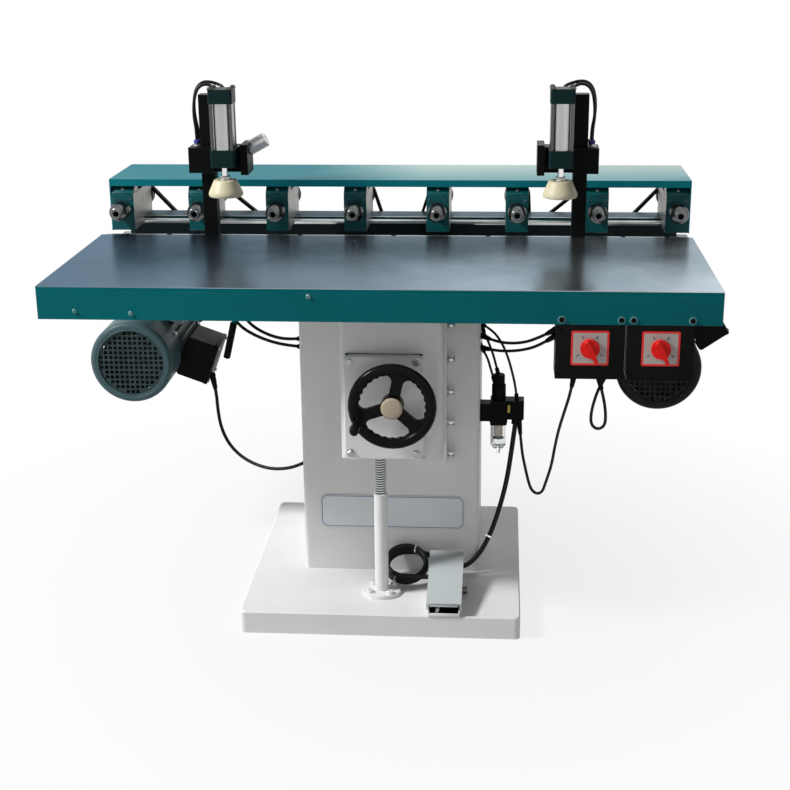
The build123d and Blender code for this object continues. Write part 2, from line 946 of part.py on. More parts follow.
# Handwheel with three spokes, its shaft and the driving gear
with BuildPart() as handwheel:
    rim_center = wheel_radius - rim_radius
    with BuildSketch(Plane(origin=(wheel_x, 0, wheel_z), x_dir=(1, 0, 0), z_dir=(0, 0, 1))):
        with Locations((rim_center, wheel_plane)):
            Circle(rim_radius)
    revolve(axis=Axis((wheel_x, 0, wheel_z), (0, 1, 0)))
    with BuildSketch(front_plane(wheel_plane + spoke_depth / 2)) as web:
        with Locations((wheel_x, wheel_z)):
            Circle(rim_center)
            Circle(rim_center - rim_radius, mode=Mode.SUBTRACT)
            Circle(hub_radius)
            with PolarLocations(rim_center / 2, spoke_count, start_angle=spoke_first):
                Rectangle(rim_center, spoke_width)
        for reach, bend in ((hub_radius, spoke_hub_fillet), (rim_center - rim_radius, spoke_rim_fillet)):
            fillet(spoke_corners(web.vertices(), reach), bend)
    extrude(amount=spoke_depth)
    rod_y(wheel_x, wheel_z, (wheel_plane - hub_front, wheel_plane + hub_rear), hub_radius)
    rod_y(wheel_x, wheel_z, (wheel_plane + hub_rear, wheel_shaft_end), wheel_shaft_radius)
    rod_y(wheel_x, wheel_z, (screw_y - gear_width / 2, screw_y + gear_width / 2), gear_radius)
    grip_x = wheel_x + rim_center * math.cos(math.radians(grip_angle))
    grip_z = wheel_z + rim_center * math.sin(math.radians(grip_angle))
    grip_seat = wheel_plane - rim_radius
    rod_y(grip_x, grip_z, (grip_seat - grip_length, wheel_plane), grip_pin_radius)
handwheel.part.label = "handwheel"
export_step(handwheel.part, "parts/handwheel.step")

# Loose grip on the handwheel's pin
with BuildPart() as handwheel_grip:
    grip_bore = grip_pin_radius + running_gap
    grip_start = grip_seat - sliding_gap
    swell = [(grip_radius * wide, grip_start - grip_length * along) for along, wide in grip_stations]
    turned_y(grip_x, grip_z, [(grip_bore, grip_start), *swell, (grip_bore, grip_start - grip_length)])
handwheel_grip.part.label = "handwheel_grip"
export_step(handwheel_grip.part, "parts/handwheel_grip.step")

# Lifting screw with its collar and gear
with BuildPart() as elevating_screw:
    collar_bottom = knee_bottom + knee_wall + sliding_gap
    rod_z(screw_x, screw_y, (screw_bottom, screw_top), screw_radius)
    rod_z(screw_x, screw_y, (collar_bottom, collar_bottom + screw_collar_height), screw_collar_radius)
    rod_z(screw_x, screw_y, (wheel_z - gear_width / 2, wheel_z + gear_width / 2), gear_radius)
elevating_screw.part.label = "elevating_screw"
export_step(elevating_screw.part, "parts/elevating_screw.step")

# Table top, one ground steel plate
with BuildPart() as table_top:
    block((-table_length / 2, table_length / 2), (table_front, table_rear), (table_under, table_height))
table_top.part.label = "table_top"
export_step(table_top.part, "parts/table_top.step")

# Table frame of aprons and ribs, open in the middle of its rear, with the hose block and a hanging lever
with BuildPart() as table_frame:
    half = table_length / 2
    block((-half, half), (table_front, table_front + apron_wall), (apron_bottom, table_under))
    for side in (-1, 1):
        outer = sorted((side * half, side * (half - apron_wall)))
        block(outer, (table_front, table_rear), (apron_bottom, table_under))
        rear = sorted((side * half, side * rear_opening))
        block(rear, (table_rear - apron_wall, table_rear), (apron_bottom, table_under))
        for place in rib_places:
            rib = sorted((side * place, side * (place + apron_wall)))
            block(rib, (table_front, table_rear), (table_under - rib_height, table_under))
    block(
        (hose_block_x - hose_block_width / 2, hose_block_x + hose_block_width / 2),
        (table_rear - apron_wall - hose_block_depth, table_rear - apron_wall),
        (table_under - hose_block_height, table_under),
    )
    for route in left_hose_routes:
        gland(route, hose_diameter)
    rod_z(*lever_top, (table_under - lever_boss_height, table_under), lever_boss_radius)
    lever_start = table_under - lever_boss_height / 2
    rod((*lever_top, lever_start), (*lever_tip, table_under - lever_length), lever_radius)
table_frame.part.label = "table_frame"
export_step(table_frame.part, "parts/table_frame.step")

# Flat bar along the table's rear edge that the clamp posts stand on
with BuildPart() as post_rail:
    block(
        (-table_length / 2, table_length / 2),
        (table_rear, table_rear + post_rail_depth),
        (post_rail_top - post_rail_thick, post_rail_top),
    )
post_rail.part.label = "post_rail"
export_step(post_rail.part, "parts/post_rail.step")

# Two clamp posts
with BuildPart() as clamp_posts:
    for side in (-1, 1):
        with BuildSketch(Plane.XY.offset(post_rail_top)):
            with Locations((side * post_x, post_front + post_depth / 2)):
                RectangleRounded(post_width, post_depth, post_corner)
        extrude(amount=post_height)
clamp_posts.part.label = "clamp_posts"
export_step(clamp_posts.part, "parts/clamp_posts.step")

# Two clamp brackets round the posts, with hose fittings and one lock handle
with BuildPart() as clamp_brackets:
    cheek_inner = clamp_x + cap_size / 2 + cheek_gap
    for side in (-1, 1):
        arm = sorted((side * bracket_inner, side * bracket_outer))
        cheek = sorted((side * cheek_inner, side * bracket_outer))
        bar = sorted((side * bracket_inner, side * (bracket_inner - bar_width)))
        hole = sorted((
            side * (post_x - post_width / 2 - seat_gap),
            side * (post_x + post_width / 2 + seat_gap),
        ))
        block(arm, (clamp_rear, bracket_rear), (bracket_base, bracket_top))
        block(cheek, (cheek_front, clamp_rear), (bracket_base, bracket_top))
        block(bar, (bar_front, bracket_rear), (bar_base, bar_base + bar_height))
        hole_depth = (post_front - seat_gap, post_rear + seat_gap)
        block(hole, hole_depth, (bracket_base, bracket_top), Mode.SUBTRACT)
        for route in clamp_hose_routes:
            end_x, end_y, end_z = route[-1]
            rod_z(side * end_x, end_y, (bracket_top, bracket_top + fitting_height), fitting_radius)
    lock_start = Vector(bar_width / 2 - bracket_inner, lock_y, table_height + lock_z)
    lock_run = Vector(math.cos(math.radians(lock_tilt)), 0, math.sin(math.radians(lock_tilt))) * lock_length
    rod(tuple(lock_start), tuple(lock_start + lock_run), lock_radius)
clamp_brackets.part.label = "clamp_brackets"
export_step(clamp_brackets.part, "parts/clamp_brackets.step")

# Square end caps of the clamp cylinders
with BuildPart() as cylinder_caps:
    for side in (-1, 1):
        for bottom, height in ((cap_base, lower_cap_height), (upper_cap_bottom, upper_cap_height)):
            with BuildSketch(Plane.XY.offset(bottom)):
                with Locations((side * clamp_x, clamp_y)):
                    RectangleRounded(cap_size, cap_size, cap_corner)
            extrude(amount=height)
        rod_z(
            side * clamp_x,
            clamp_y,
            (cap_base, lower_cap_top),
            plunger_radius + running_gap,
            Mode.SUBTRACT,
        )
        for route in clamp_hose_routes:
            gland(route if side > 0 else mirrored(route), hose_diameter)
cylinder_caps.part.label = "cylinder_caps"
export_step(cylinder_caps.part, "parts/cylinder_caps.step")

# Barrels of the clamp cylinders and four tie rods each
with BuildPart() as cylinder_barrels:
    for side in (-1, 1):
        with BuildSketch(Plane.XY.offset(lower_cap_top)):
            with Locations((side * clamp_x, clamp_y)):
                Circle(barrel_radius)
                Circle(barrel_bore, mode=Mode.SUBTRACT)
                with GridLocations(2 * tie_rod_offset, 2 * tie_rod_offset, 2, 2):
                    Circle(tie_rod_radius)
        extrude(amount=barrel_length)
cylinder_barrels.part.label = "cylinder_barrels"
export_step(cylinder_barrels.part, "parts/cylinder_barrels.step")

# Clamp plungers, each a piston rod with a cupped pad
for side, hand in ((-1, "left"), (1, "right")):
    with BuildPart() as clamp_plunger:
        pad_top = pad_base + pad_height
        piston_top = upper_cap_bottom - piston_top_margin
        rod_z(side * clamp_x, clamp_y, (pad_top + seat_gap, piston_top), plunger_radius)
        rod_z(
            side * clamp_x,
            clamp_y,
            (piston_top - piston_height, piston_top),
            barrel_bore - sliding_gap,
        )
        turned_z(side * clamp_x, clamp_y, [
            (0, pad_base),
            (pad_radius, pad_base),
            (pad_radius, pad_base + pad_rim),
            (pad_neck_radius, pad_top - pad_rim),
            (pad_neck_radius, pad_top),
            (0, pad_top),
        ])
    clamp_plunger.part.label = f"clamp_plunger_{hand}"
    export_step(clamp_plunger.part, f"parts/clamp_plunger_{hand}.step")

# Two switch boxes hung behind the front apron
switch_places = [left + width / 2 for left, width in zip(box_left, box_width)]
with BuildPart() as switch_boxes:
    for left, width in zip(box_left, box_width):
        block((left, left + width), (table_front, box_rear), (box_bottom, apron_bottom))
        block(
            (left + box_wall, left + width - box_wall),
            (table_front + box_wall, box_rear - box_wall),
            (box_bottom + box_wall, apron_bottom - box_wall),
            Mode.SUBTRACT,
        )
        block(
            (left, left + width),
            (table_front + apron_wall, table_front + apron_wall + box_wall),
            (apron_bottom, apron_bottom + box_flange_height),
        )
        rod_y(
            left + width / 2,
            switch_z,
            (table_front, table_front + box_wall),
            knob_shaft_radius + running_gap,
            Mode.SUBTRACT,
        )
    for route in box_cable_routes + [power_lead_route, switch_loop_route]:
        gland(route, cable_diameter)
    gland(switch_loop_route, cable_diameter, at_end=True)
switch_boxes.part.label = "switch_boxes"
export_step(switch_boxes.part, "parts/switch_boxes.step")

# Plates behind the switch knobs
with BuildPart() as switch_plates:
    with BuildSketch(front_plane(table_front)):
        for place in switch_places:
            with Locations((place, switch_z)):
                RectangleRounded(plate_width, plate_height, plate_corner)
                Circle(knob_shaft_radius + sliding_gap, mode=Mode.SUBTRACT)
    extrude(amount=plate_thick)
switch_plates.part.label = "switch_plates"
export_step(switch_plates.part, "parts/switch_plates.step")

# Switch knobs, each a round base with a pointer grip and a shaft
for place, hand in zip(switch_places, ("left", "right")):
    with BuildPart() as switch_knob:
        rod_y(place, switch_z, (knob_seat - knob_base, knob_seat), knob_radius)
        with BuildSketch(front_plane(knob_seat - knob_base)):
            with Locations(Location((place, switch_z), knob_angle)):
                SlotOverall(2 * knob_radius, knob_grip_width)
                with Locations((knob_radius, 0)):
                    Rectangle(knob_tip_length, knob_tip_width)
        extrude(amount=knob_grip_height)
        rod_y(place, switch_z, (knob_seat, knob_seat + knob_shaft_length), knob_shaft_radius)
    switch_knob.part.label = f"switch_knob_{hand}"
    export_step(switch_knob.part, f"parts/switch_knob_{hand}.step")

# Saddle on the rails, with the lug that the feed rod pushes
saddle_left = column_x - rail_pitch / 2 - rail_size / 2 - saddle_margin
saddle_right = column_x + rail_pitch / 2 + rail_size / 2 + saddle_margin
with BuildPart() as saddle:
    for side in (-1, 1):
        rail_x = column_x + side * rail_pitch / 2
        half = rail_size / 2 + sliding_gap
        block(
            (rail_x - half - saddle_side, rail_x + half + saddle_side),
            (saddle_front, saddle_front + saddle_block_length),
            (rail_top - saddle_skirt, rail_top + saddle_roof),
        )
        block(
            (rail_x - half, rail_x + half),
            (saddle_front, saddle_front + saddle_block_length),
            (rail_top - saddle_skirt, rail_top + sliding_gap),
            Mode.SUBTRACT,
        )
    block((saddle_left, saddle_right), (saddle_front, bed_rear), (rail_top + saddle_roof, saddle_top))
    block(
        (column_x - lug_width / 2, column_x + lug_width / 2),
        (lug_front, lug_front + lug_length),
        (column_top + lug_bottom_gap, rail_top + saddle_roof),
    )
saddle.part.label = "saddle"
export_step(saddle.part, "parts/saddle.step")

# Feed rod with its piston
with BuildPart() as feed_rod:
    rod_y(column_x, feed_z, (feed_piston_y, lug_front), feed_rod_radius)
    rod_y(column_x, feed_z, (feed_piston_y, feed_piston_y + feed_piston_length), feed_bore - sliding_gap)
feed_rod.part.label = "feed_rod"
export_step(feed_rod.part, "parts/feed_rod.step")

# Bed that carries the heads, with a groove for the guide bar and the idler pins
with BuildPart() as bed:
    block((-bed_length / 2, bed_length / 2), (bed_front, bed_rear), (saddle_top, bed_top))
    rod(
        (-bed_length / 2, guide_bar_y, guide_bar_z),
        (bed_length / 2, guide_bar_y, guide_bar_z),
        guide_bar_radius + seat_gap,
        Mode.SUBTRACT,
    )
    for spot_x, spot_z in idler_spots:
        for side in (-1, 1):
            rod_y(side * spot_x, spot_z, (bed_rear, bed_rear + idler_pin_length), idler_pin_radius)
bed.part.label = "bed"
export_step(bed.part, "parts/bed.step")

# Bright guide bar along the bed's front edge
with BuildPart() as guide_bar:
    rod(
        (-guide_bar_length / 2, guide_bar_y, guide_bar_z),
        (guide_bar_length / 2, guide_bar_y, guide_bar_z),
        guide_bar_radius,
    )
guide_bar.part.label = "guide_bar"
export_step(guide_bar.part, "parts/guide_bar.step")

# Eight boring heads, notched over the bed and the bar and bored for their spindles
with BuildPart() as boring_heads:
    for place in spindle_places:
        with BuildSketch(side_plane(place - head_width / 2)):
            with BuildLine():
                Polyline(
                    (head_front, head_nose_bottom),
                    (head_front, head_face_top),
                    (head_front + head_bevel, head_top),
                    (head_rear, head_top),
                    (head_rear, bed_top),
                    (bed_front - sliding_gap, bed_top),
                    (bed_front - sliding_gap, head_nose_bottom),
                    close=True,
                )
            make_face()
            with Locations((guide_bar_y, guide_bar_z)):
                Circle(guide_bar_radius + head_bar_gap, mode=Mode.SUBTRACT)
            with Locations((guide_bar_y + guide_bar_radius, head_nose_bottom)):
                Rectangle(4 * guide_bar_radius, 2 * (guide_bar_z - head_nose_bottom), mode=Mode.SUBTRACT)
        extrude(amount=head_width)
        rod_y(place, spindle_z, (head_front, head_rear), spindle_radius + running_gap, Mode.SUBTRACT)
boring_heads.part.label = "boring_heads"
export_step(boring_heads.part, "parts/boring_heads.step")

# Cover over the heads and pulleys, on spacers, with a plate down each end
cover_bottom = head_top + cover_gap
with BuildPart() as cover:
    cover_sides = (-cover_length / 2, cover_length / 2)
    cover_rear = cover_front + cover_depth
    block(cover_sides, (cover_front, cover_rear), (cover_bottom, cover_bottom + cover_lip))
    block(
        (cover_sides[0] + cover_sheet, cover_sides[1] - cover_sheet),
        (cover_front + cover_sheet, cover_rear - cover_sheet),
        (cover_bottom, cover_bottom + cover_lip - cover_sheet),
        Mode.SUBTRACT,
    )
    for end in cover_sides:
        plate = sorted((end, end - math.copysign(cover_sheet, end)))
        block(plate, (cover_front, head_rear), (end_plate_bottom, cover_bottom))
    for place in spindle_places:
        for spot in spacer_places:
            rod_z(place, spot, (head_top, cover_bottom + cover_lip - cover_sheet), spacer_radius)
cover.part.label = "cover"
export_step(cover.part, "parts/cover.step")

# Finned motor housings
with BuildPart() as motor_housings:
    for side in (-1, 1):
        rod_y(side * motor_x, motor_z, (housing_front, housing_rear), housing_radius)
        with BuildSketch(front_plane(housing_rear)):
            with Locations((side * motor_x, motor_z)):
                with PolarLocations((fin_radius + housing_radius - fin_sink) / 2, fin_count):
                    Rectangle(fin_radius - housing_radius + fin_sink, fin_width)
        extrude(amount=housing_rear - housing_front)
        rotor_hole = rotor_radius + running_gap
        rod_y(side * motor_x, motor_z, (housing_front, housing_rear), rotor_hole, Mode.SUBTRACT)
motor_housings.part.label = "motor_housings"
export_step(motor_housings.part, "parts/motor_housings.step")

# Fan cowls, cups with a grille of square holes
grille_steps = [(step - (grille_count - 1) / 2) * grille_pitch for step in range(grille_count)]
grille_spots = [(x, z) for x in grille_steps for z in grille_steps if math.hypot(x, z) < grille_radius]
with BuildPart() as fan_cowls:
    for side in (-1, 1):
        turned_y(side * motor_x, motor_z, [
            (0, cowl_front),
            (cowl_radius - cowl_corner, cowl_front),
            (cowl_radius, cowl_front + cowl_corner),
            (cowl_radius, cowl_front + cowl_length),
            (cowl_radius - cowl_wall, cowl_front + cowl_length),
            (cowl_radius - cowl_wall, cowl_front + cowl_corner + cowl_wall / 2),
            (cowl_radius - cowl_corner - cowl_wall / 2, cowl_front + cowl_wall),
            (0, cowl_front + cowl_wall),
        ])
        with BuildSketch(front_plane(cowl_front + cowl_wall)):
            with Locations((side * motor_x, motor_z)):
                with Locations(*grille_spots):
                    Rectangle(grille_hole, grille_hole)
        extrude(amount=cowl_wall, mode=Mode.SUBTRACT)
fan_cowls.part.label = "fan_cowls"
export_step(fan_cowls.part, "parts/fan_cowls.step")

# Terminal boxes on the motors' sides
with BuildPart() as terminal_boxes:
    for side, tilt in zip((-1, 1), box_tilts):
        outward = Vector(math.cos(math.radians(tilt)), 0, math.sin(math.radians(tilt)))
        seat = Plane(
            origin=(side * motor_x, box_front, motor_z), x_dir=tuple(outward), z_dir=(0, -1, 0)
        )
        lift = box_lift if side < 0 else 0
        with BuildSketch(seat):
            with Locations((fin_radius + sliding_gap + box_reach / 2, lift)):
                RectangleRounded(box_reach, box_span, box_corner)
        extrude(amount=-box_length)
    gland(motor_lead_route, lead_diameter)
terminal_boxes.part.label = "terminal_boxes"
export_step(terminal_boxes.part, "parts/terminal_boxes.step")

# Motor plates, each a hanger under the bed and a foot plate along the motor
with BuildPart() as motor_plates:
    for side, tilt in zip((-1, 1), foot_tilts):
        with BuildSketch(front_plane(housing_rear + hanger_thick)):
            with Locations((side * motor_x, motor_z)):
                Circle(hanger_reach)
            with Locations((side * motor_x, (motor_z + saddle_top) / 2)):
                Rectangle(hanger_width, saddle_top - motor_z)
            with Locations((side * motor_x, motor_z)):
                Circle(hanger_hole, mode=Mode.SUBTRACT)
        extrude(amount=hanger_thick)
        block(
            (side * motor_x - hanger_flange_width / 2, side * motor_x + hanger_flange_width / 2),
            (bed_front, bed_rear),
            (saddle_top - hanger_flange, saddle_top),
        )
        outward = Vector(math.cos(math.radians(tilt)), 0, math.sin(math.radians(tilt)))
        seat = Plane(
            origin=(side * motor_x, housing_rear, motor_z), x_dir=tuple(outward), z_dir=(0, -1, 0)
        )
        with BuildSketch(seat):
            with Locations((fin_radius + sliding_gap + foot_thick / 2, 0)):
                Rectangle(foot_thick, foot_span)
        extrude(amount=housing_rear - foot_front)
motor_plates.part.label = "motor_plates"
export_step(motor_plates.part, "parts/motor_plates.step")


def pulley(x, z, belt_radius):
    """Flanged pulley that runs inside a belt."""
    tread = belt_radius - belt_thick / 2 - sliding_gap
    flange = tread + pulley_flange_rise
    rod_y(x, z, (pulley_front, pulley_rear), tread)
    rod_y(x, z, (pulley_front, pulley_front + pulley_flange), flange)
    rod_y(x, z, (pulley_rear - pulley_flange, pulley_rear), flange)


# Motor rotors, each a shaft with its fan and pulley
for side, hand in ((-1, "left"), (1, "right")):
    with BuildPart() as motor_rotor:
        rotor_x = side * motor_x
        rod_y(rotor_x, motor_z, (fan_front, pulley_rear), rotor_radius)
        rod_y(rotor_x, motor_z, (fan_front, fan_front + fan_blade_length), fan_hub_radius)
        rod_y(rotor_x, motor_z, (fan_front, fan_front + fan_disc), fan_radius)
        with BuildSketch(front_plane(fan_front + fan_blade_length)):
            with Locations((rotor_x, motor_z)):
                with PolarLocations((fan_radius + fan_hub_radius) / 2 - fan_blade_inset, fan_blade_count):
                    Rectangle(fan_radius - fan_hub_radius, fan_blade_width)
        extrude(amount=fan_blade_length)
        pulley(rotor_x, motor_z, motor_belt_radius)
    motor_rotor.part.label = f"motor_rotor_{hand}"
    export_step(motor_rotor.part, f"parts/motor_rotor_{hand}.step")

# Spindles, each a shaft with a pulley behind the head and a keyed chuck in front
chuck_rear = head_front - sliding_gap
for number, place in enumerate(spindle_places, start=1):
    with BuildPart() as spindle:
        rod_y(place, spindle_z, (spindle_nose + seat_gap, pulley_rear), spindle_radius)
        pulley(place, spindle_z, spindle_belt_radius)
        cone_end = chuck_front + chuck_cone_length
        turned_y(place, spindle_z, [
            (chuck_bore, chuck_front),
            (chuck_nose_radius, chuck_front),
            (chuck_cone_radius, cone_end),
            (chuck_radius, cone_end + chuck_step),
            (chuck_radius, chuck_rear - chuck_rear_taper),
            (chuck_rear_radius, chuck_rear),
            (spindle_radius + seat_gap, chuck_rear),
            (spindle_radius + seat_gap, spindle_nose),
            (0, spindle_nose),
            (0, chuck_front + chuck_bore_depth),
            (chuck_bore, chuck_front + chuck_bore_depth),
        ])
        for turn in range(key_hole_count):
            angle = math.radians(key_hole_first + 360 * turn / key_hole_count)
            ray = Vector(math.cos(angle), 0, math.sin(angle))
            hub = Vector(place, key_hole_y, spindle_z)
            rod(
                tuple(hub + ray * (chuck_radius - key_hole_depth)),
                tuple(hub + ray * (chuck_radius + key_hole_overcut)),
                key_hole_radius,
                Mode.SUBTRACT,
            )
    spindle.part.label = f"spindle_{number}"
    export_step(spindle.part, f"parts/spindle_{number}.step")

# Idlers on the bed's pins
for side, hand in ((-1, "left"), (1, "right")):
    for (spot_x, spot_z), spot in zip(idler_spots, ("outer", "middle", "inner")):
        with BuildPart() as idler:
            idler_radius = idler_belt_radius - belt_thick / 2 - sliding_gap
            rod_y(-side * spot_x, spot_z, (belt_front, belt_rear), idler_radius)
            rod_y(
                -side * spot_x, spot_z, (belt_front, belt_rear), idler_pin_radius + running_gap, Mode.SUBTRACT
            )
        idler.part.label = f"idler_{hand}_{spot}"
        export_step(idler.part, f"parts/idler_{hand}_{spot}.step")


def left_normal(angle):
    """Unit vector to the left of a direction of travel in the belt's plane."""
    return Vector(-math.sin(angle), math.cos(angle))


def belt_outline(wheels, shift):
    """Closed line round wheels of centre and signed radius, shifted to its left side.

    A wheel's radius is negative where the belt goes round it clockwise.
    """
    centers = [Vector(x, z) for x, z, radius in wheels]
    radii = [radius - shift for x, z, radius in wheels]
    count = len(wheels)
    travel = []
    for index in range(count):
        following = (index + 1) % count
        gap = centers[following] - centers[index]
        turn = math.asin((radii[following] - radii[index]) / gap.length)
        travel.append(math.atan2(gap.Y, gap.X) - turn)
    for index in range(count):
        into = travel[index - 1]
        sweep_angle = (travel[index] - into) % (2 * math.pi)
        if radii[index] < 0:
            sweep_angle -= 2 * math.pi
        angles = (into, into + sweep_angle / 2, into + sweep_angle)
        touches = [centers[index] - left_normal(angle) * radii[index] for angle in angles]
        ThreePointArc(*touches)
        following = (index + 1) % count
        Line(touches[2], centers[following] - left_normal(travel[index]) * radii[following])


# Two drive belts, each from a motor over four spindles and three idlers
left_heads = [(place, spindle_z, -spindle_belt_radius) for place in spindle_places[:head_count]]
outer_idler, middle_idler, inner_idler = idler_spots
belt_wheels = [
    (-motor_x, motor_z, -motor_belt_radius),
    left_heads[0],
    (*outer_idler, idler_belt_radius),
    left_heads[1],
    (*middle_idler, idler_belt_radius),
    left_heads[2],
    left_heads[3],
    (*inner_idler, -idler_belt_radius),
]
with BuildPart() as drive_belts:
    with BuildSketch(front_plane(belt_rear)):
        with BuildLine():
            belt_outline(belt_wheels, belt_thick / 2)
        make_face()
        with BuildLine():
            belt_outline(belt_wheels, -belt_thick / 2)
        make_face(mode=Mode.SUBTRACT)
        mirror(about=Plane.YZ)
    extrude(amount=belt_width)
drive_belts.part.label = "drive_belts"
export_step(drive_belts.part, "parts/drive_belts.step")

# Cables and hoses between the frame and the table
with BuildPart() as table_cables:
    for route in box_cable_routes:
        cord("box cable", route, cable_diameter)
    cord("power lead", power_lead_route, cable_diameter)
    cord("switch loop", switch_loop_route, cable_diameter)
    for route in left_hose_routes:
        cord("left hose", route, hose_diameter)
table_cables.part.label = "table_cables"
export_step(table_cables.part, "parts/table_cables.step")

# Clamp hoses over the tops of the posts
with BuildPart() as clamp_hoses:
    for route in clamp_hose_routes:
        cord("clamp hose", route, hose_diameter)
        cord("clamp hose", mirrored(route), hose_diameter)
clamp_hoses.part.label = "clamp_hoses"
export_step(clamp_hoses.part, "parts/clamp_hoses.step")

# Lead of the left motor
with BuildPart() as motor_lead:
    cord("motor lead", motor_lead_route, lead_diameter)
motor_lead.part.label = "motor_lead"
export_step(motor_lead.part, "parts/motor_lead.step")

# Hose to the foot valve and the small tubes of the filter unit
with BuildPart() as pedal_hose:
    cord("pedal hose", pedal_hose_route, pedal_hose_diameter)
    for route in unit_tube_routes:
        cord("unit tube", route, unit_tube_diameter)
pedal_hose.part.label = "pedal_hose"
export_step(pedal_hose.part, "parts/pedal_hose.step")


def coil_point(angle):
    """Point of the coil's centre line at an angle from its start."""
    climb = coil_normal * (coil_pitch * angle / (2 * math.pi))
    outward = coil_across * math.cos(angle) - Vector(1, 0, 0) * math.sin(angle)
    return coil_center + outward * coil_radius + climb


def coil_tangent(angle):
    """Direction of the coil's centre line."""
    around = (coil_across * -math.sin(angle) - Vector(1, 0, 0) * math.cos(angle)) * coil_radius
    return (around + coil_normal * (coil_pitch / (2 * math.pi))).normalized()


# Loose coil of the pedal hose, leaning on the column, with its end in the foot valve
coil_steps = round(coil_turns * 4)
coil_angles = [2 * math.pi * coil_turns * step / coil_steps for step in range(coil_steps + 1)]
coil_end = coil_point(coil_angles[-1])
valve_side = pedal_x - pedal_base_width / 2
with BuildPart() as hose_coil:
    with BuildLine() as coil_line:
        Line(coil_start + coil_lead, coil_start)
        for first, last in zip(coil_angles, coil_angles[1:]):
            start, end = coil_point(first), coil_point(last)
            leave, arrive = coil_tangent(first), coil_tangent(last)
            chord = end - start
            both = leave + arrive
            spread = 2 * (1 - leave.dot(arrive))
            reach = (math.sqrt(chord.dot(both) ** 2 + spread * chord.dot(chord)) - chord.dot(both)) / spread
            first_knee = start + leave * reach
            last_knee = end - arrive * reach
            middle = (first_knee + last_knee) / 2
            TangentArc(start, middle, tangent=leave)
            TangentArc(middle, end, tangent=last_knee - first_knee)
        Line(coil_end, Vector(valve_side - sliding_gap, coil_end.Y, coil_end.Z))
    coil_wire = coil_line.wire()
    with BuildSketch(Plane(origin=coil_wire @ 0, z_dir=coil_wire % 0)):
        Circle(pedal_hose_diameter / 2)
    sweep(path=coil_wire)
    check_count = int(coil_turns * coil_check_steps)
    coil_checks = [2 * math.pi * step / coil_check_steps for step in range(check_count)]
    least_gap = min(
        (coil_point(first) - coil_point(first + math.pi + more)).length - pedal_hose_diameter
        for first in coil_checks
        for more in coil_checks
        if first + math.pi + more <= coil_angles[-1]
    )
    coil_share = hose_coil.part.volume / (math.pi * pedal_hose_diameter ** 2 / 4 * coil_wire.length)
    print(f"hose coil: length {coil_wire.length:.0f}, least gap {least_gap:.2f}, share {coil_share:.4f}")
hose_coil.part.label = "hose_coil"
export_step(hose_coil.part, "parts/hose_coil.step")
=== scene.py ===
"""Looks of an eight-spindle boring machine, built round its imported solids."""

import math
from functools import partial

import bmesh
import bpy
from mathutils import Matrix, Vector


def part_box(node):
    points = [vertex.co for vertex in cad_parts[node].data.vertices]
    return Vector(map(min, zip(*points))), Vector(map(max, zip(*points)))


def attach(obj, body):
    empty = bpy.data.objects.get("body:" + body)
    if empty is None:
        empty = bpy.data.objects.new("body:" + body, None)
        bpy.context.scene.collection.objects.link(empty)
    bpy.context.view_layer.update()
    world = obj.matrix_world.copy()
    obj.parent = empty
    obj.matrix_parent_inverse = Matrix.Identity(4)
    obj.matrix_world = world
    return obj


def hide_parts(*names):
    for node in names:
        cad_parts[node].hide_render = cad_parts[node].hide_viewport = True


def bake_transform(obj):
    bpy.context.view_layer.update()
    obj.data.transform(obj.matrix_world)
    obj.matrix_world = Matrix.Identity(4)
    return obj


bl_info = {
    "name": "Boring machine",
    "version": (1, 0, 0),
    "blender": (4, 5, 0),
    "location": "View3D > Sidebar > Machine",
    "description": "Dresses the solids of a multi-spindle boring machine",
    "category": "Object",
}

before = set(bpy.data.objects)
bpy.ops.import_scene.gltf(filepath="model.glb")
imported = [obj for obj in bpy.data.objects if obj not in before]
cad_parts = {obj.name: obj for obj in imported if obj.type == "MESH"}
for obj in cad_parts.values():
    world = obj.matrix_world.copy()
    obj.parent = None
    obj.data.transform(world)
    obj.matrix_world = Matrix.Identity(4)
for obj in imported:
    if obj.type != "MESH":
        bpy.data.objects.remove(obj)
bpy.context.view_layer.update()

SHARP_ANGLE = math.radians(35)
FULL_TURN = 2 * math.pi
UP = Vector((0, 0, 1))
RIGHT = Vector((1, 0, 0))
FRONT = Vector((0, -1, 0))
SIDES = (-1, 1)
HANDS = ("left", "right")

# Colour sockets of the mix node, whose names repeat
MIX_FACTOR, MIX_FIRST, MIX_SECOND, MIX_RESULT = 0, 6, 7, 2

# Routes of the cords in metres, each from one end to the other
BOX_CABLE_UPPER = [
    (0.388, -0.275, 0.731), (0.363, -0.238, 0.706), (0.330, -0.192, 0.680), (0.293, -0.146, 0.664),
    (0.262, -0.103, 0.657), (0.238, -0.066, 0.656),
]
BOX_CABLE_LOWER = [
    (0.388, -0.273, 0.715), (0.363, -0.236, 0.687), (0.330, -0.190, 0.662), (0.293, -0.146, 0.645),
    (0.262, -0.103, 0.634), (0.238, -0.066, 0.628),
]
POWER_LEAD = [
    (0.437, -0.292, 0.626), (0.432, -0.280, 0.588), (0.422, -0.258, 0.540), (0.411, -0.231, 0.486),
    (0.404, -0.205, 0.432), (0.399, -0.184, 0.382), (0.391, -0.165, 0.342), (0.385, -0.153, 0.316),
    (0.381, -0.147, 0.299), (0.372, -0.140, 0.288), (0.361, -0.131, 0.287), (0.352, -0.124, 0.296),
    (0.346, -0.117, 0.313), (0.339, -0.106, 0.340), (0.332, -0.091, 0.368), (0.328, -0.075, 0.397),
    (0.324, -0.058, 0.432),
]
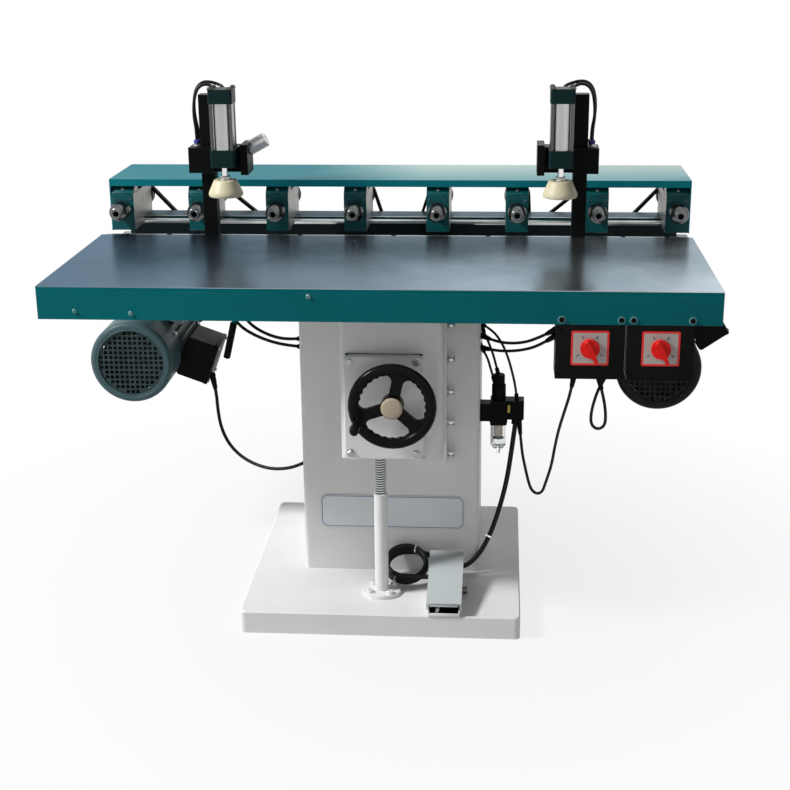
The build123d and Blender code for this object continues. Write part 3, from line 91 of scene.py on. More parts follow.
SWITCH_LOOP = [
    (0.494, -0.300, 0.626), (0.501, -0.299, 0.600), (0.508, -0.298, 0.570), (0.511, -0.296, 0.545),
    (0.511, -0.295, 0.526), (0.507, -0.294, 0.516), (0.499, -0.292, 0.510), (0.490, -0.290, 0.510),
    (0.482, -0.288, 0.517), (0.479, -0.287, 0.528), (0.480, -0.285, 0.548), (0.486, -0.283, 0.575),
    (0.495, -0.281, 0.602), (0.505, -0.280, 0.626),
]
LEFT_HOSE_OUTER = [
    (-0.420, 0.185, 0.766), (-0.420, 0.184, 0.738), (-0.418, 0.172, 0.706), (-0.412, 0.148, 0.676),
    (-0.400, 0.114, 0.652), (-0.375, 0.081, 0.634), (-0.337, 0.055, 0.620), (-0.295, 0.038, 0.609),
    (-0.253, 0.026, 0.603), (-0.214, 0.018, 0.602),
]
LEFT_HOSE_INNER = [
    (-0.402, 0.185, 0.766), (-0.402, 0.184, 0.738), (-0.398, 0.171, 0.706), (-0.389, 0.147, 0.678),
    (-0.374, 0.114, 0.656), (-0.348, 0.082, 0.638), (-0.313, 0.058, 0.625), (-0.277, 0.040, 0.618),
    (-0.244, 0.027, 0.618), (-0.214, 0.017, 0.623),
]
CLAMP_HOSE_REAR = [
    (0.418, 0.226, 1.196), (0.420, 0.242, 1.203), (0.428, 0.253, 1.209), (0.442, 0.258, 1.214),
    (0.458, 0.259, 1.218), (0.474, 0.259, 1.218), (0.488, 0.258, 1.210), (0.497, 0.256, 1.192),
    (0.501, 0.255, 1.162), (0.499, 0.254, 1.130), (0.493, 0.254, 1.102), (0.493, 0.254, 1.076),
]
CLAMP_HOSE_FRONT = [
    (0.438, 0.226, 1.194), (0.442, 0.236, 1.203), (0.451, 0.240, 1.210), (0.463, 0.241, 1.214),
    (0.476, 0.240, 1.212), (0.487, 0.239, 1.203), (0.494, 0.238, 1.186), (0.498, 0.237, 1.160),
    (0.498, 0.236, 1.130), (0.494, 0.236, 1.102), (0.494, 0.236, 1.076),
]
MOTOR_LEAD = [
    (-0.490, 0.266, 0.434), (-0.483, 0.263, 0.398), (-0.480, 0.256, 0.355), (-0.472, 0.243, 0.312),
    (-0.452, 0.226, 0.272), (-0.418, 0.206, 0.242), (-0.374, 0.184, 0.225), (-0.326, 0.164, 0.220),
    (-0.280, 0.146, 0.229), (-0.242, 0.130, 0.247), (-0.214, 0.118, 0.266),
]
PEDAL_HOSE = [
    (0.314, -0.040, 0.430), (0.310, -0.041, 0.396), (0.304, -0.043, 0.346), (0.297, -0.046, 0.294),
    (0.286, -0.052, 0.242), (0.272, -0.062, 0.193), (0.255, -0.077, 0.148), (0.232, -0.095, 0.109),
    (0.203, -0.110, 0.082), (0.171, -0.114, 0.075), (0.141, -0.109, 0.084), (0.115, -0.100, 0.097),
    (0.093, -0.0955, 0.1072),
]
UNIT_TUBE_UPPER = [(0.233, 0.006, 0.653), (0.246, -0.006, 0.627), (0.259, -0.018, 0.597), (0.267, -0.028, 0.568)]
UNIT_TUBE_LOWER = [(0.233, 0.000, 0.605), (0.244, -0.006, 0.588), (0.251, -0.014, 0.566), (0.258, -0.022, 0.545)]
UNIT_TUBE_OUTER = [
    (0.233, -0.030, 0.676), (0.256, -0.034, 0.664), (0.278, -0.040, 0.636), (0.294, -0.044, 0.600),
    (0.305, -0.045, 0.560), (0.312, -0.045, 0.530), (0.315, -0.045, 0.508),
]

# The coil at the end of the pedal hose
COIL_CENTER = Vector((0.053, -0.13772, 0.08433))
COIL_LEAN = math.radians(28.4)
COIL_ACROSS = Vector((0, math.cos(COIL_LEAN), math.sin(COIL_LEAN)))
COIL_NORMAL = Vector((0, -math.sin(COIL_LEAN), math.cos(COIL_LEAN)))
COIL_RADIUS = 0.0492
COIL_PITCH = 0.0128
COIL_TURNS = 2.5
COIL_STEPS = 35
COIL_END_X = 0.1147

# Ties round the coil and on the long run of its hose
COIL_TIE_TURNS = (0.926, 0.42)
COIL_TIE = [(0.0077, -0.0016), (0.0083, -0.0016), (0.0083, 0.0016), (0.0077, 0.0016), (0.0077, -0.0016)]
COIL_TIE_STRETCH = 1.72
HOSE_TIE_PLACE = (0.255, -0.077, 0.148)
TIE_LOCK = ((-0.0026, -0.0024, 0.0060), (0.0026, 0.0024, 0.0098))
TIE_TAIL = ((-0.0011, -0.0004, 0.0095), (0.0011, 0.0004, 0.0240))
HOSE_TIE = [(0.0060, -0.0019), (0.0067, -0.0019), (0.0067, 0.0019), (0.0060, 0.0019), (0.0060, -0.0019)]

# Diameters of the cords
CABLE = 0.007
HOSE = 0.008
LEAD = 0.009
FOOT_HOSE = 0.012
TUBE = 0.006

# Sleeves where the cords leave their housings
GLAND_LENGTH = 0.0175
GLAND_RATIO = 1.7
RELIEF_RIBS = 4
CABLE_RELIEF = 0.022
HOSE_RELIEF = 0.010
TUBE_RELIEF = 0.008
LEAD_RELIEF = 0.024
MOTOR_RELIEF = 0.026

# Lifting screw: shares of the pitch and of the depth along one turn of the thread, collar, gear seat and flange
THREAD_TURN = ((0, 1), (0.34, 1), (0.48, 0), (0.86, 0))
SCREW_RADIUS = 0.013
COLLAR_Z = 0.4243
COLLAR_RADIUS = 0.020
COLLAR_THICK = 0.012
COLLAR_CHAMFER = 0.001
GEAR_SEAT = (0.553, 0.573)
GEAR_SEAT_RADIUS = 0.018
FLANGE_THICK = 0.009
FLANGE_RING = 0.034
FLANGE_START = 40

# Column plate, knee and handwheel
COLUMN_WAY = 0.024
PLATE_X = 0.0155
PLATE_Z = 0.2125
PLATE_WIDTH = 0.353
PLATE_HEIGHT = 0.085
PLATE_CORNER = 0.010
PLATE_MARGIN = 0.002
PLATE_THICK = 0.001
PLATE_PROUD = 0.0012
PLATE_RIVET = [(0, 0.0012), (0.0012, 0.0010), (0.0022, 0)]
PLATE_RIVET_INSET = 0.011
KNEE_BOX_RISE = 0.067
LUGS_X = (-0.053, 0.092)
LUG_HALF = 0.013
GIB_SCREW_LENGTH = 0.017
GIB_SCREW_Y = -0.108
GIB_NUT_GAP = 0.0135
GIB_SCREW_HEIGHTS = (0.031, 0.110, 0.187, 0.267, 0.351)
WHEEL_X = 0.035
WHEEL_Z = 0.563
WHEEL_PLANE = -0.315
WHEEL_HUB_Y = -0.329
HUB_CAP = [(0, 0.0052), (0.017, 0.0050), (0.0222, 0.0042), (0.0242, 0.0028), (0.0245, 0.0012), (0.0245, 0)]
GRIP_SCREW_SINK = 0.0035
FINGER_COUNT = 28
FINGER_STEPS = 6
FINGER_SIDES = 12
FINGER_REACH = 0.0805
FINGER_THICK = 0.0062
FINGER_SWELL = 0.28

# Clamps
CLAMP_X = 0.417
CLAMP_Y = 0.190
CAP_TOP = 1.209
TIE_OFFSET = 0.024
BARREL_EDGE = (0.0285, 0.0290)
BRACKET_TOP = 1.062
PAD = [
    (0, 0), (0.0385, 0), (0.0412, 0.0012), (0.0426, 0.0036), (0.0429, 0.0070), (0.0424, 0.0105), (0.0412, 0.0135),
    (0.0392, 0.0180), (0.0365, 0.0240), (0.0338, 0.0300), (0.0312, 0.0358), (0.0298, 0.0390), (0.0288, 0.0408),
    (0.0272, 0.0418), (0.0180, 0.0418), (0.0172, 0.0405), (0, 0.0405),
]
PAD_NUT_RISE = 0.0405
ROD_RADIUS = 0.008
HANDLE_ROOT = Vector((-0.368, 0.250, 1.052))
HANDLE_LEAN = math.radians(28)
HANDLE_START = 0.006
HANDLE_REACH = 0.0525
HANDLE_END = [(0, 0.0015), (0.0085, 0.0015), (0.0090, 0.0022), (0.0155, 0.0022), (0.0172, 0.001), (0.0176, -0.001)]
HOSE_SEATS = ((0.493, 0.254), (0.494, 0.236))
HOSE_COLLAR = [(0.0071, 0.0075), (0.0082, 0.0080), (0.0082, 0.0125), (0.0074, 0.0148), (0.0044, 0.0152)]

# Switch boxes, each with its left side, its right side and the middle of its plate
SWITCH_BOXES = ((0.394, 0.543, 0.4685), (0.549, 0.692, 0.6205))
SWITCH_BOTTOM = 0.640
SWITCH_TOP = 0.763
SWITCH_PLATE_Z = 0.711
SWITCH_LID_FRONT = 0.0014
SWITCH_SCREW_INSET = 0.008
SWITCH_TICKS = ((58, 0.0285), (122, 0.0285), (-148, 0.031), (-32, 0.031))
SWITCH_TICK = ((-0.0008, -0.0036, -0.0003), (0.0008, 0.0036, 0.0003))
SWITCH_TICK_FRONT = 0.0021
PANEL_ASIDE = (0.0366, 0.0360)
PANEL_ABOVE = (0.0346, 0.0340)
PANEL_FRONT = (-0.3366, -0.3369)

# Table
APRON_SCREWS = (
    (-0.666, 0.782), (-0.540, 0.778), (0.406, 0.774), (0.534, 0.774), (0.560, 0.774), (0.686, 0.774),
    (-0.144, 0.820),
)
RIGHT_SCREW_RATIO = 1.55
RAIL_BOLTS_X = (-0.69, -0.58, -0.24, 0.0, 0.24, 0.58, 0.69)
LEVER_TOP = Vector((-0.347, 0.060, 0.816))
LEVER_TIP = Vector((-0.409, 0.060, 0.560))
LEVER_GRIP_LENGTH = 0.092
LEVER_CAP = [(0, 0.002), (0.0055, 0.0018), (0.0078, 0.0004), (0.0080, -0.001)]

# Boring heads
HEADS_X = (-0.7245, -0.519, -0.3135, -0.108, 0.108, 0.3135, 0.519, 0.7245)
HEAD_WIDTH = 0.059
SHOULDER_DEPTH = 0.055
SHOULDER_BEVEL = 0.0165
SHOULDER_INSET = 0.0006
ROOF_GAP = 0.0015
HEAD_SCREW_ASIDE = 0.021
HEAD_SCREW_DROP = 0.014
COVER_LIP = 0.018
SPINDLE_Z = 0.880
CHUCK_SLEEVE_BACK = 0.028
CHUCK_SLEEVE = [
    (0.02405, 0), (0.0243, 0.0008), (0.0243, 0.0130), (0.0240, 0.0190), (0.0232, 0.0250), (0.0218, 0.0310),
    (0.0200, 0.0365), (0.0178, 0.0415), (0.0162, 0.0442), (0.0150, 0.0458), (0.0136, 0.0470), (0.0112, 0.0475),
    (0.0095, 0.0473), (0.0086, 0.0466), (0.0082, 0.0440),
]
# Black lining of a chuck's bore: painted shade in the hole
CHUCK_BORE_SHADE = [(0.0080, 0.0442), (0.0078, 0.0430), (0.0078, 0.0180), (0, 0.0180)]

# Motors, each with its side, and the tilt and the lift of its terminal box
MOTORS = ((-1, -20, 0.025), (1, 35, 0))
MOTOR_X = 0.672
MOTOR_Z = 0.522
COWL_SHELL = [
    (0.0855, -0.0030), (0.0855, -0.0004), (0.0859, 0), (0.0895, 0), (0.0903, -0.0007), (0.0913, -0.0007),
    (0.0921, 0), (0.0950, 0), (0.0978, -0.0004), (0.1004, -0.0015), (0.1032, -0.0035), (0.1053, -0.0062),
    (0.1065, -0.0092), (0.1070, -0.0125), (0.1070, -0.1150), (0.1040, -0.1150), (0.1040, -0.0130),
    (0.1020, -0.0070), (0.0985, -0.0040), (0.0940, -0.0030), (0.0855, -0.0030),
]
COWL_SCREW_RING = 0.1068
COWL_SCREW_BACK = 0.104
COWL_SCREW_START = 28
GRILLE_CELLS = 15
GRILLE_PITCH = 0.0130
GRILLE_HOLE = 0.0078
GRILLE_EDGE = 0.0850
GRILLE_REACH = 0.0942
GRILLE_SINK = 0.0040
GRILLE_THICK = 0.0016
GRILLE_TONE_REACH = (0.0862, 0.0856)
GRILLE_TONE_DEPTH = (0.128, 0.126)
HANGER_REAR = 0.516
HANGER_RING = 0.078
TERMINAL_Y = 0.300
TERMINAL_REACH = 0.190
TERMINAL_LID = ((-0.0568, -0.0612, -0.012), (0.0568, 0.0612, 0.0008))
TERMINAL_SCREWS = (0.048, 0.052)

# Air unit and foot valve
FILTER_ELEMENT = [
    (0, 0.400), (0.0085, 0.400), (0.0105, 0.402), (0.0105, 0.424), (0.0125, 0.426), (0.0125, 0.4315), (0, 0.4315),
]
FILTER_BAFFLE = [(0, 0.3955), (0.0135, 0.3935), (0.0145, 0.3945), (0.003, 0.399), (0, 0.400)]
BOWL_GUARD = [(0.0192, 0.4318), (0.0215, 0.4322), (0.0215, 0.4395), (0.0200, 0.4405), (0.0192, 0.4405)]
REGULATOR_RIBS = (0.5325, 0.5545)
VALVE_TAG = ((0.2945, -0.0636, 0.4655), (0.3005, -0.0617, 0.4855))
PEDAL_WALL = 0.0035
PEDAL_LIP_INSET = 0.0038
PEDAL_EDGE = 0.0008
PEDAL_TAB = ((-0.0035, -0.017, 0), (0.0035, 0.004, 0.013))
PEDAL_TAB_X = 0.1335
PEDAL_TAB_LEAN = math.radians(24)
PEDAL_PLUG_Y = 0.115
PEDAL_PLUG_Z = 0.068

# Heads of screws, bolts and nuts, each with its radius and height
FLANGE_BOLT = (0.0075, 0.008)
COVER_SCREW = (0.0075, 0.005)
GIB_NUT = (0.0085, 0.0045)
GIB_END_NUT = (0.0082, 0.004)
GRIP_SCREW = (0.0038, 0.003)
PAD_NUT = (0.0135, 0.009)
TIE_NUT = (0.0062, 0.0045)
HOSE_NUT = (0.0085, 0.005)
SWITCH_SCREW = (0.0036, 0.0018)
RAIL_BOLT = (0.0065, 0.0045)
SHOULDER_SCREW = (0.0042, 0.003)
HEAD_SCREW = (0.0036, 0.002)
COWL_SCREW = (0.0055, 0.0042)
HANGER_BOLT = (0.0085, 0.007)
TERMINAL_SCREW = (0.0042, 0.0032)
PEDAL_PLUG = (0.0085, 0.012)

# Ribbed grips, each with its radius, the number of its ribs and their depth
HANDLE_RIBS = (0.0183, 22, 0.0009)
LEVER_RIBS = (0.0088, 14, 0.0008)
KNOB_RIBS = (0.0142, 20, 0.0009)

# Lamps, each with its name, place, aim, size and power, then the world, the floor and the camera
LAMPS = (
    ("key_lamp", (-3.3, -1.2, 3.5), (0, -0.1, 0.55), 0.8, 262),
    ("fill_lamp", (2.6, -3.4, 1.6), (0, 0, 0.5), 2.4, 8),
    ("rear_lamp", (0.8, 3.4, 3.0), (0, 0.2, 0.7), 2.4, 18),
)
WORLD_TINT = (0.97, 0.985, 1, 1)
WORLD_LEVEL = 0.17
FLOOR_SIZE = 14
FLOOR_DROP = 0.0003
CAMERA_PLACE = (0.2712, -3.3268, 1.5916)
CAMERA_AHEAD = Vector((-0.0721, 0.9465, -0.3146)).normalized()
CAMERA_ROLL = -0.01
CAMERA_LENS = 64.98
CAMERA_SENSOR = 36


def coil_points():
    """Control points of the coil's turns, then the short run into the foot valve."""
    points = []
    for step in range(COIL_STEPS + 1):
        angle = FULL_TURN * COIL_TURNS * step / COIL_STEPS
        around = COIL_ACROSS * math.cos(angle) - RIGHT * math.sin(angle)
        climb = COIL_NORMAL * (COIL_PITCH * angle / FULL_TURN)
        points.append(tuple(COIL_CENTER + around * COIL_RADIUS + climb))
    end = points[-1]
    points.append((COIL_END_X, end[1], end[2]))
    return points


def mirrored(route):
    """Route on the other side of the machine."""
    return [(-x, y, z) for x, y, z in route]


class MachineColours(bpy.types.PropertyGroup):
    """Colours that a user would change."""

    white: bpy.props.FloatVectorProperty(
        name="White enamel", description="Base, column, knee and pedal", subtype="COLOR", default=(0.76, 0.765, 0.75)
    )
    teal: bpy.props.FloatVectorProperty(
        name="Teal enamel", description="Table frame, cover and heads", subtype="COLOR", default=(0.001, 0.126, 0.143)
    )
    # Blue of the table top: a painted sky reflection laid on the steel's colour.
    table_steel_sky_tint: bpy.props.FloatVectorProperty(
        name="Table steel", description="Ground table top", subtype="COLOR", default=(0.15, 0.205, 0.275)
    )
    bright_steel: bpy.props.FloatVectorProperty(
        name="Bright steel", description="Bar, rods and bolts", subtype="COLOR", default=(0.60, 0.61, 0.61)
    )
    machined_iron: bpy.props.FloatVectorProperty(
        name="Machined iron", description="Bed, saddle and rails", subtype="COLOR", default=(0.26, 0.285, 0.30)
    )
    black: bpy.props.FloatVectorProperty(
        name="Black", description="Posts, brackets and handwheel", subtype="COLOR", default=(0.0035, 0.004, 0.004)
    )
    cap_green: bpy.props.FloatVectorProperty(
        name="Cylinder caps", description="Dark green caps of the clamps", subtype="COLOR",
        default=(0.006, 0.020, 0.020),
    )
    cream: bpy.props.FloatVectorProperty(
        name="Pads", description="Cream clamp pads", subtype="COLOR", default=(0.56, 0.51, 0.35)
    )
    red: bpy.props.FloatVectorProperty(
        name="Switch red", description="Switch knobs and frames", subtype="COLOR", default=(0.78, 0.011, 0.008)
    )
    motor: bpy.props.FloatVectorProperty(
        name="Motor enamel", description="Motors and fan cowls", subtype="COLOR", default=(0.052, 0.092, 0.10)
    )
    beige: bpy.props.FloatVectorProperty(
        name="Hub cap", description="Cap on the handwheel's hub", subtype="COLOR", default=(0.44, 0.36, 0.27)
    )


class MachineSizes(bpy.types.PropertyGroup):
    """Sizes of the trim that a user would change."""

    thread_pitch: bpy.props.FloatProperty(
        name="Thread pitch", description="Pitch of the lifting screw", default=0.006, unit="LENGTH"
    )
    thread_depth: bpy.props.FloatProperty(
        name="Thread depth", description="Depth of the lifting screw's thread", default=0.0025, unit="LENGTH"
    )
    apron_screw_radius: bpy.props.FloatProperty(
        name="Apron screw", description="Radius of the washers on the apron", default=0.0055, unit="LENGTH"
    )
    plate_border: bpy.props.FloatProperty(
        name="Plate border", description="Width of the blue line on the column's plate", default=0.002, unit="LENGTH"
    )


def colour(name):
    """One of the user's colours with full alpha."""
    return (*getattr(bpy.context.scene.machine_colours, name), 1)


def add_node(tree, kind, inputs=None, **settings):
    """Shader node with its settings, and values or links at its inputs."""
    made = tree.nodes.new(kind)
    for key, value in settings.items():
        setattr(made, key, value)
    for key, value in (inputs or {}).items():
        if isinstance(value, bpy.types.NodeSocket):
            tree.links.new(value, made.inputs[key])
        else:
            made.inputs[key].default_value = value
    return made


def new_group(name, inputs, outputs):
    """Empty node group with named sockets, its input node and its output node."""
    group = bpy.data.node_groups.new(name, "ShaderNodeTree")
    for label, kind, default in inputs:
        socket = group.interface.new_socket(name=label, in_out="INPUT", socket_type=kind)
        socket.default_value = default
    for label, kind in outputs:
        group.interface.new_socket(name=label, in_out="OUTPUT", socket_type=kind)
    return group, group.nodes.new("NodeGroupInput").outputs, group.nodes.new("NodeGroupOutput").inputs


def spread(tree, value, from_min, from_max, to_min=0.0, to_max=1.0):
    """Value moved from one range to another and held inside it."""
    settings = {"Value": value, "From Min": from_min, "From Max": from_max, "To Min": to_min, "To Max": to_max}
    return add_node(tree, "ShaderNodeMapRange", settings, clamp=True).outputs["Result"]


def arithmetic(tree, operation, *values):
    """Math node on two or three values."""
    return add_node(tree, "ShaderNodeMath", dict(enumerate(values)), operation=operation).outputs[0]


def mix_colours(tree, factor, first, second):
    """Colour between two others."""
    sides = {MIX_FACTOR: factor, MIX_FIRST: first, MIX_SECOND: second}
    return add_node(tree, "ShaderNodeMix", sides, data_type="RGBA").outputs[MIX_RESULT]


def object_place(tree):
    """Coordinates of the surface in the machine's own frame."""
    return add_node(tree, "ShaderNodeTexCoord").outputs["Object"]


def place_parts(tree):
    """X, Y and Z of the surface in the machine's own frame."""
    return add_node(tree, "ShaderNodeSeparateXYZ", {0: object_place(tree)}).outputs


def normal_parts(tree):
    """X, Y and Z of the direction that the surface faces."""
    normal = add_node(tree, "ShaderNodeNewGeometry").outputs["Normal"]
    return add_node(tree, "ShaderNodeSeparateXYZ", {0: normal}).outputs


def place_mask(tree, axis, start, end):
    """Value that goes from 0 to 1 between two places along an axis of the machine."""
    return spread(tree, place_parts(tree)[axis], start, end)


def facing_mask(tree, axis, start, end):
    """Value that goes from 0 to 1 as the surface turns towards an axis."""
    return spread(tree, normal_parts(tree)[axis], start, end)


def noise(tree, scale, detail, roughness=0.5, place=None):
    """Noise over the surface."""
    if place is None:
        place = object_place(tree)
    settings = {"Vector": place, "Scale": scale, "Detail": detail, "Roughness": roughness}
    return add_node(tree, "ShaderNodeTexNoise", settings).outputs["Fac"]


def patchy_tone_group():
    """Slow change of a colour's lightness over the surface."""
    inputs = [
        ("Color", "NodeSocketColor", (1, 1, 1, 1)),
        ("Scale", "NodeSocketFloat", 4),
        ("Amount", "NodeSocketFloat", 0.1),
    ]
    group, given, out = new_group("patchy_tone", inputs, [("Color", "NodeSocketColor"), ("Tone", "NodeSocketFloat")])
    patches = noise(group, given["Scale"], 5, 0.55)
    gain = arithmetic(group, "MULTIPLY_ADD", spread(group, patches, 0.3, 0.7, -1, 1), given["Amount"], 1)
    tinted = add_node(group, "ShaderNodeHueSaturation", {"Color": given["Color"], "Value": gain})
    group.links.new(tinted.outputs["Color"], out["Color"])
    group.links.new(patches, out["Tone"])
    return group


def worn_edges_group():
    """Colour rubbed through to another along sharp edges."""
    inputs = [
        ("Color", "NodeSocketColor", (1, 1, 1, 1)),
        ("Worn", "NodeSocketColor", (0.5, 0.5, 0.5, 1)),
        ("Width", "NodeSocketFloat", 0.002),
        ("Amount", "NodeSocketFloat", 0.5),
    ]
    group, given, out = new_group("worn_edges", inputs, [("Color", "NodeSocketColor")])
    soft = add_node(group, "ShaderNodeBevel", {"Radius": given["Width"]}, samples=6).outputs["Normal"]
    hard = add_node(group, "ShaderNodeNewGeometry").outputs["Normal"]
    agree = add_node(group, "ShaderNodeVectorMath", {0: soft, 1: hard}, operation="DOT_PRODUCT").outputs["Value"]
    chips = spread(group, noise(group, 38, 6), 0.45, 0.62)
    edge = arithmetic(group, "MULTIPLY", spread(group, agree, 0.99, 0.8), chips)
    mask = arithmetic(group, "MULTIPLY", edge, given["Amount"])
    group.links.new(mix_colours(group, mask, given["Color"], given["Worn"]), out["Color"])
    return group


def settled_dust_group():
    """Thin dust on faces that look up."""
    inputs = [
        ("Color", "NodeSocketColor", (1, 1, 1, 1)),
        ("Dust", "NodeSocketColor", (0.5, 0.47, 0.42, 1)),
        ("Amount", "NodeSocketFloat", 0.2),
    ]
    group, given, out = new_group("settled_dust", inputs, [("Color", "NodeSocketColor")])
    patches = spread(group, noise(group, 9, 8, 0.7), 0.42, 0.75)
    settled = arithmetic(group, "MULTIPLY", facing_mask(group, "Z", 0.5, 1), patches)
    mask = arithmetic(group, "MULTIPLY", settled, given["Amount"])
    group.links.new(mix_colours(group, mask, given["Color"], given["Dust"]), out["Color"])
    return group


def fine_grain_group():
    """Fine even grain, such as orange peel in paint or the skin of a moulding."""
    inputs = [("Scale", "NodeSocketFloat", 600)]
    group, given, out = new_group("fine_grain", inputs, [("Height", "NodeSocketFloat")])
    group.links.new(noise(group, given["Scale"], 2), out["Height"])
    return group


def tool_lines_group():
    """Lines left by grinding, brushing or turning, drawn out along one axis."""
    inputs = [("Stretch", "NodeSocketVector", (4, 400, 400))]
    group, given, out = new_group("tool_lines", inputs, [("Lines", "NodeSocketFloat")])
    sides = {0: object_place(group), 1: given["Stretch"]}
    drawn = add_node(group, "ShaderNodeVectorMath", sides, operation="MULTIPLY").outputs[0]
    group.links.new(noise(group, 1, 4, 0.65, drawn), out["Lines"])
    return group


GROUPS = {
    "patchy_tone": patchy_tone_group,
    "worn_edges": worn_edges_group,
    "settled_dust": settled_dust_group,
    "fine_grain": fine_grain_group,
    "tool_lines": tool_lines_group,
}


def effect(tree, name, inputs):
    """One of the shared effects placed in a material with its own values."""
    group = bpy.data.node_groups.get(name) or GROUPS[name]()
    return add_node(tree, "ShaderNodeGroup", inputs, node_tree=group).outputs


def new_finish(name, **values):
    """Empty material with one shader, whose plain values are given."""
    made = bpy.data.materials.new(name)
    made.use_nodes = True
    shader = made.node_tree.nodes["Principled BSDF"]
    for key, value in values.items():
        shader.inputs[key.replace("_", " ").title().replace("Ior", "IOR")].default_value = value
    return made, made.node_tree, shader.inputs


def dented(tree, height, strength, distance):
    """Normal of a surface raised by a height."""
    settings = {"Height": height, "Strength": strength, "Distance": distance}
    return add_node(tree, "ShaderNodeBump", settings).outputs["Normal"]


def grained(tree, scale, strength, distance):
    """Normal of a surface with a fine, even grain."""
    return dented(tree, effect(tree, "fine_grain", {"Scale": scale})["Height"], strength, distance)


def base_tint(tree, tint):
    """Colour of a finish from one of the user's colours, from nodes that work it out, or as it is."""
    if callable(tint):
        return tint(tree)
    return colour(tint) if isinstance(tint, str) else tint


def enamel(name, tint, roughness=0.34, worn=(0.30, 0.30, 0.29, 1), wear=0.5, dust=0.12, tone=0.05, gloss=0.5):
    """Sprayed paint with orange peel, rubbed edges and a little dust."""
    made, tree, shader = new_finish(name, specular_ior_level=gloss)
    shade = effect(tree, "patchy_tone", {"Color": base_tint(tree, tint), "Scale": 3.5, "Amount": tone})
    rubbed = effect(tree, "worn_edges", {"Color": shade["Color"], "Worn": worn, "Width": 0.0025, "Amount": wear})
    dusty = effect(tree, "settled_dust", {"Color": rubbed["Color"], "Amount": dust})
    tree.links.new(dusty["Color"], shader["Base Color"])
    tree.links.new(spread(tree, shade["Tone"], 0.3, 0.7, roughness - 0.06, roughness + 0.1), shader["Roughness"])
    tree.links.new(grained(tree, 420, 0.10, 0.0006), shader["Normal"])
    return made


def bare_metal(name, tint, roughness=0.3, stretch=(6, 500, 500), tone=0.12, stain=0.25, rim=1.0):
    """Machined metal with tool lines and faint stains; rim is its brightness where the eye grazes it."""
    made, tree, shader = new_finish(name, metallic=1, specular_tint=(rim, rim, rim, 1))
    shade = effect(tree, "patchy_tone", {"Color": base_tint(tree, tint), "Scale": 7, "Amount": tone})
    lines = effect(tree, "tool_lines", {"Stretch": stretch})["Lines"]
    streaks = spread(tree, lines, 0.55, 0.8, 0, stain)
    tree.links.new(mix_colours(tree, streaks, shade["Color"], (0.06, 0.055, 0.05, 1)), shader["Base Color"])
    uneven = arithmetic(tree, "MULTIPLY_ADD", lines, 0.22, roughness - 0.11)
    tree.links.new(uneven, shader["Roughness"])
    tree.links.new(dented(tree, lines, 0.16, 0.0004), shader["Normal"])
    return made


def moulding(name, tint, roughness=0.5, grain=900, depth=0.25, tone=0.08, dust=0.05, gloss=0.3):
    """Moulded plastic or rubber with a fine skin."""
    made, tree, shader = new_finish(name, specular_ior_level=gloss)
    shade = effect(tree, "patchy_tone", {"Color": base_tint(tree, tint), "Scale": 12, "Amount": tone})
    dusty = effect(tree, "settled_dust", {"Color": shade["Color"], "Amount": dust})
    tree.links.new(dusty["Color"], shader["Base Color"])
    tree.links.new(spread(tree, shade["Tone"], 0.3, 0.7, roughness - 0.08, roughness + 0.1), shader["Roughness"])
    tree.links.new(grained(tree, grain, depth, 0.0004), shader["Normal"])
    return made


def axis_distance(tree, first, first_middle, second, second_middle):
    """Distance from an axis, out of two places across it and where the axis lies along each."""
    offsets = {
        "X": arithmetic(tree, "SUBTRACT", first, first_middle),
        "Y": arithmetic(tree, "SUBTRACT", second, second_middle),
    }
    flat = add_node(tree, "ShaderNodeCombineXYZ", offsets).outputs[0]
    return add_node(tree, "ShaderNodeVectorMath", {0: flat}, operation="LENGTH").outputs["Value"]


def barrel_tint(tree):
    """Pale alloy of the clamp barrels, and dark steel on the tie rods round them."""
    parts = place_parts(tree)
    aside = arithmetic(tree, "ABSOLUTE", parts["X"])
    rods = spread(tree, axis_distance(tree, aside, CLAMP_X, parts["Y"], CLAMP_Y), *BARREL_EDGE)
    return mix_colours(tree, rods, (0.43, 0.427, 0.42, 1), (0.10, 0.098, 0.092, 1))


def thread_groove_shade_tint(tree):
    """Pale crests of the lifting thread, and painted shade in its grooves."""
    low, high = box_of("elevating_screw")
    middle = (low + high) / 2
    parts = place_parts(tree)
    away = axis_distance(tree, parts["X"], middle.x, parts["Y"], middle.y)
    crest = spread(tree, away, SCREW_RADIUS - 0.0014, SCREW_RADIUS - 0.0004)
    # Near-black grooves between the crests: painted shade in the thread.
    return mix_colours(tree, crest, (0.045, 0.047, 0.045, 1), (0.62, 0.64, 0.63, 1))


def cowl_finish_shaded_right(name):
    """Motor enamel, grey-green on the left motor, and near black on the right one as painted shade."""
    made, tree, shader = new_finish(name, specular_ior_level=0.12)
    right = place_mask(tree, "X", -0.1, 0.1)
    parts = place_parts(tree)
    aside = arithmetic(tree, "ABSOLUTE", parts["X"])
    reach = axis_distance(tree, aside, MOTOR_X, parts["Z"], MOTOR_Z)
    disc = spread(tree, reach, *GRILLE_TONE_REACH)
    grille = arithmetic(tree, "MULTIPLY", disc, spread(tree, parts["Y"], *GRILLE_TONE_DEPTH))
    left = mix_colours(tree, grille, colour("motor"), (0.028, 0.048, 0.050, 1))
    # The right motor has the same enamel and is made near black here: painted shade.
    tint = mix_colours(tree, right, left, (0.004, 0.0045, 0.0045, 1))
    shade = effect(tree, "patchy_tone", {"Color": tint, "Scale": 6, "Amount": 0.12})
    rubbed = effect(
        tree, "worn_edges", {"Color": shade["Color"], "Worn": (0.20, 0.25, 0.25, 1), "Width": 0.002, "Amount": 0.5}
    )
    tree.links.new(rubbed["Color"], shader["Base Color"])
    tree.links.new(spread(tree, shade["Tone"], 0.3, 0.7, 0.28, 0.46), shader["Roughness"])
    tree.links.new(grained(tree, 500, 0.12, 0.0006), shader["Normal"])
    return made


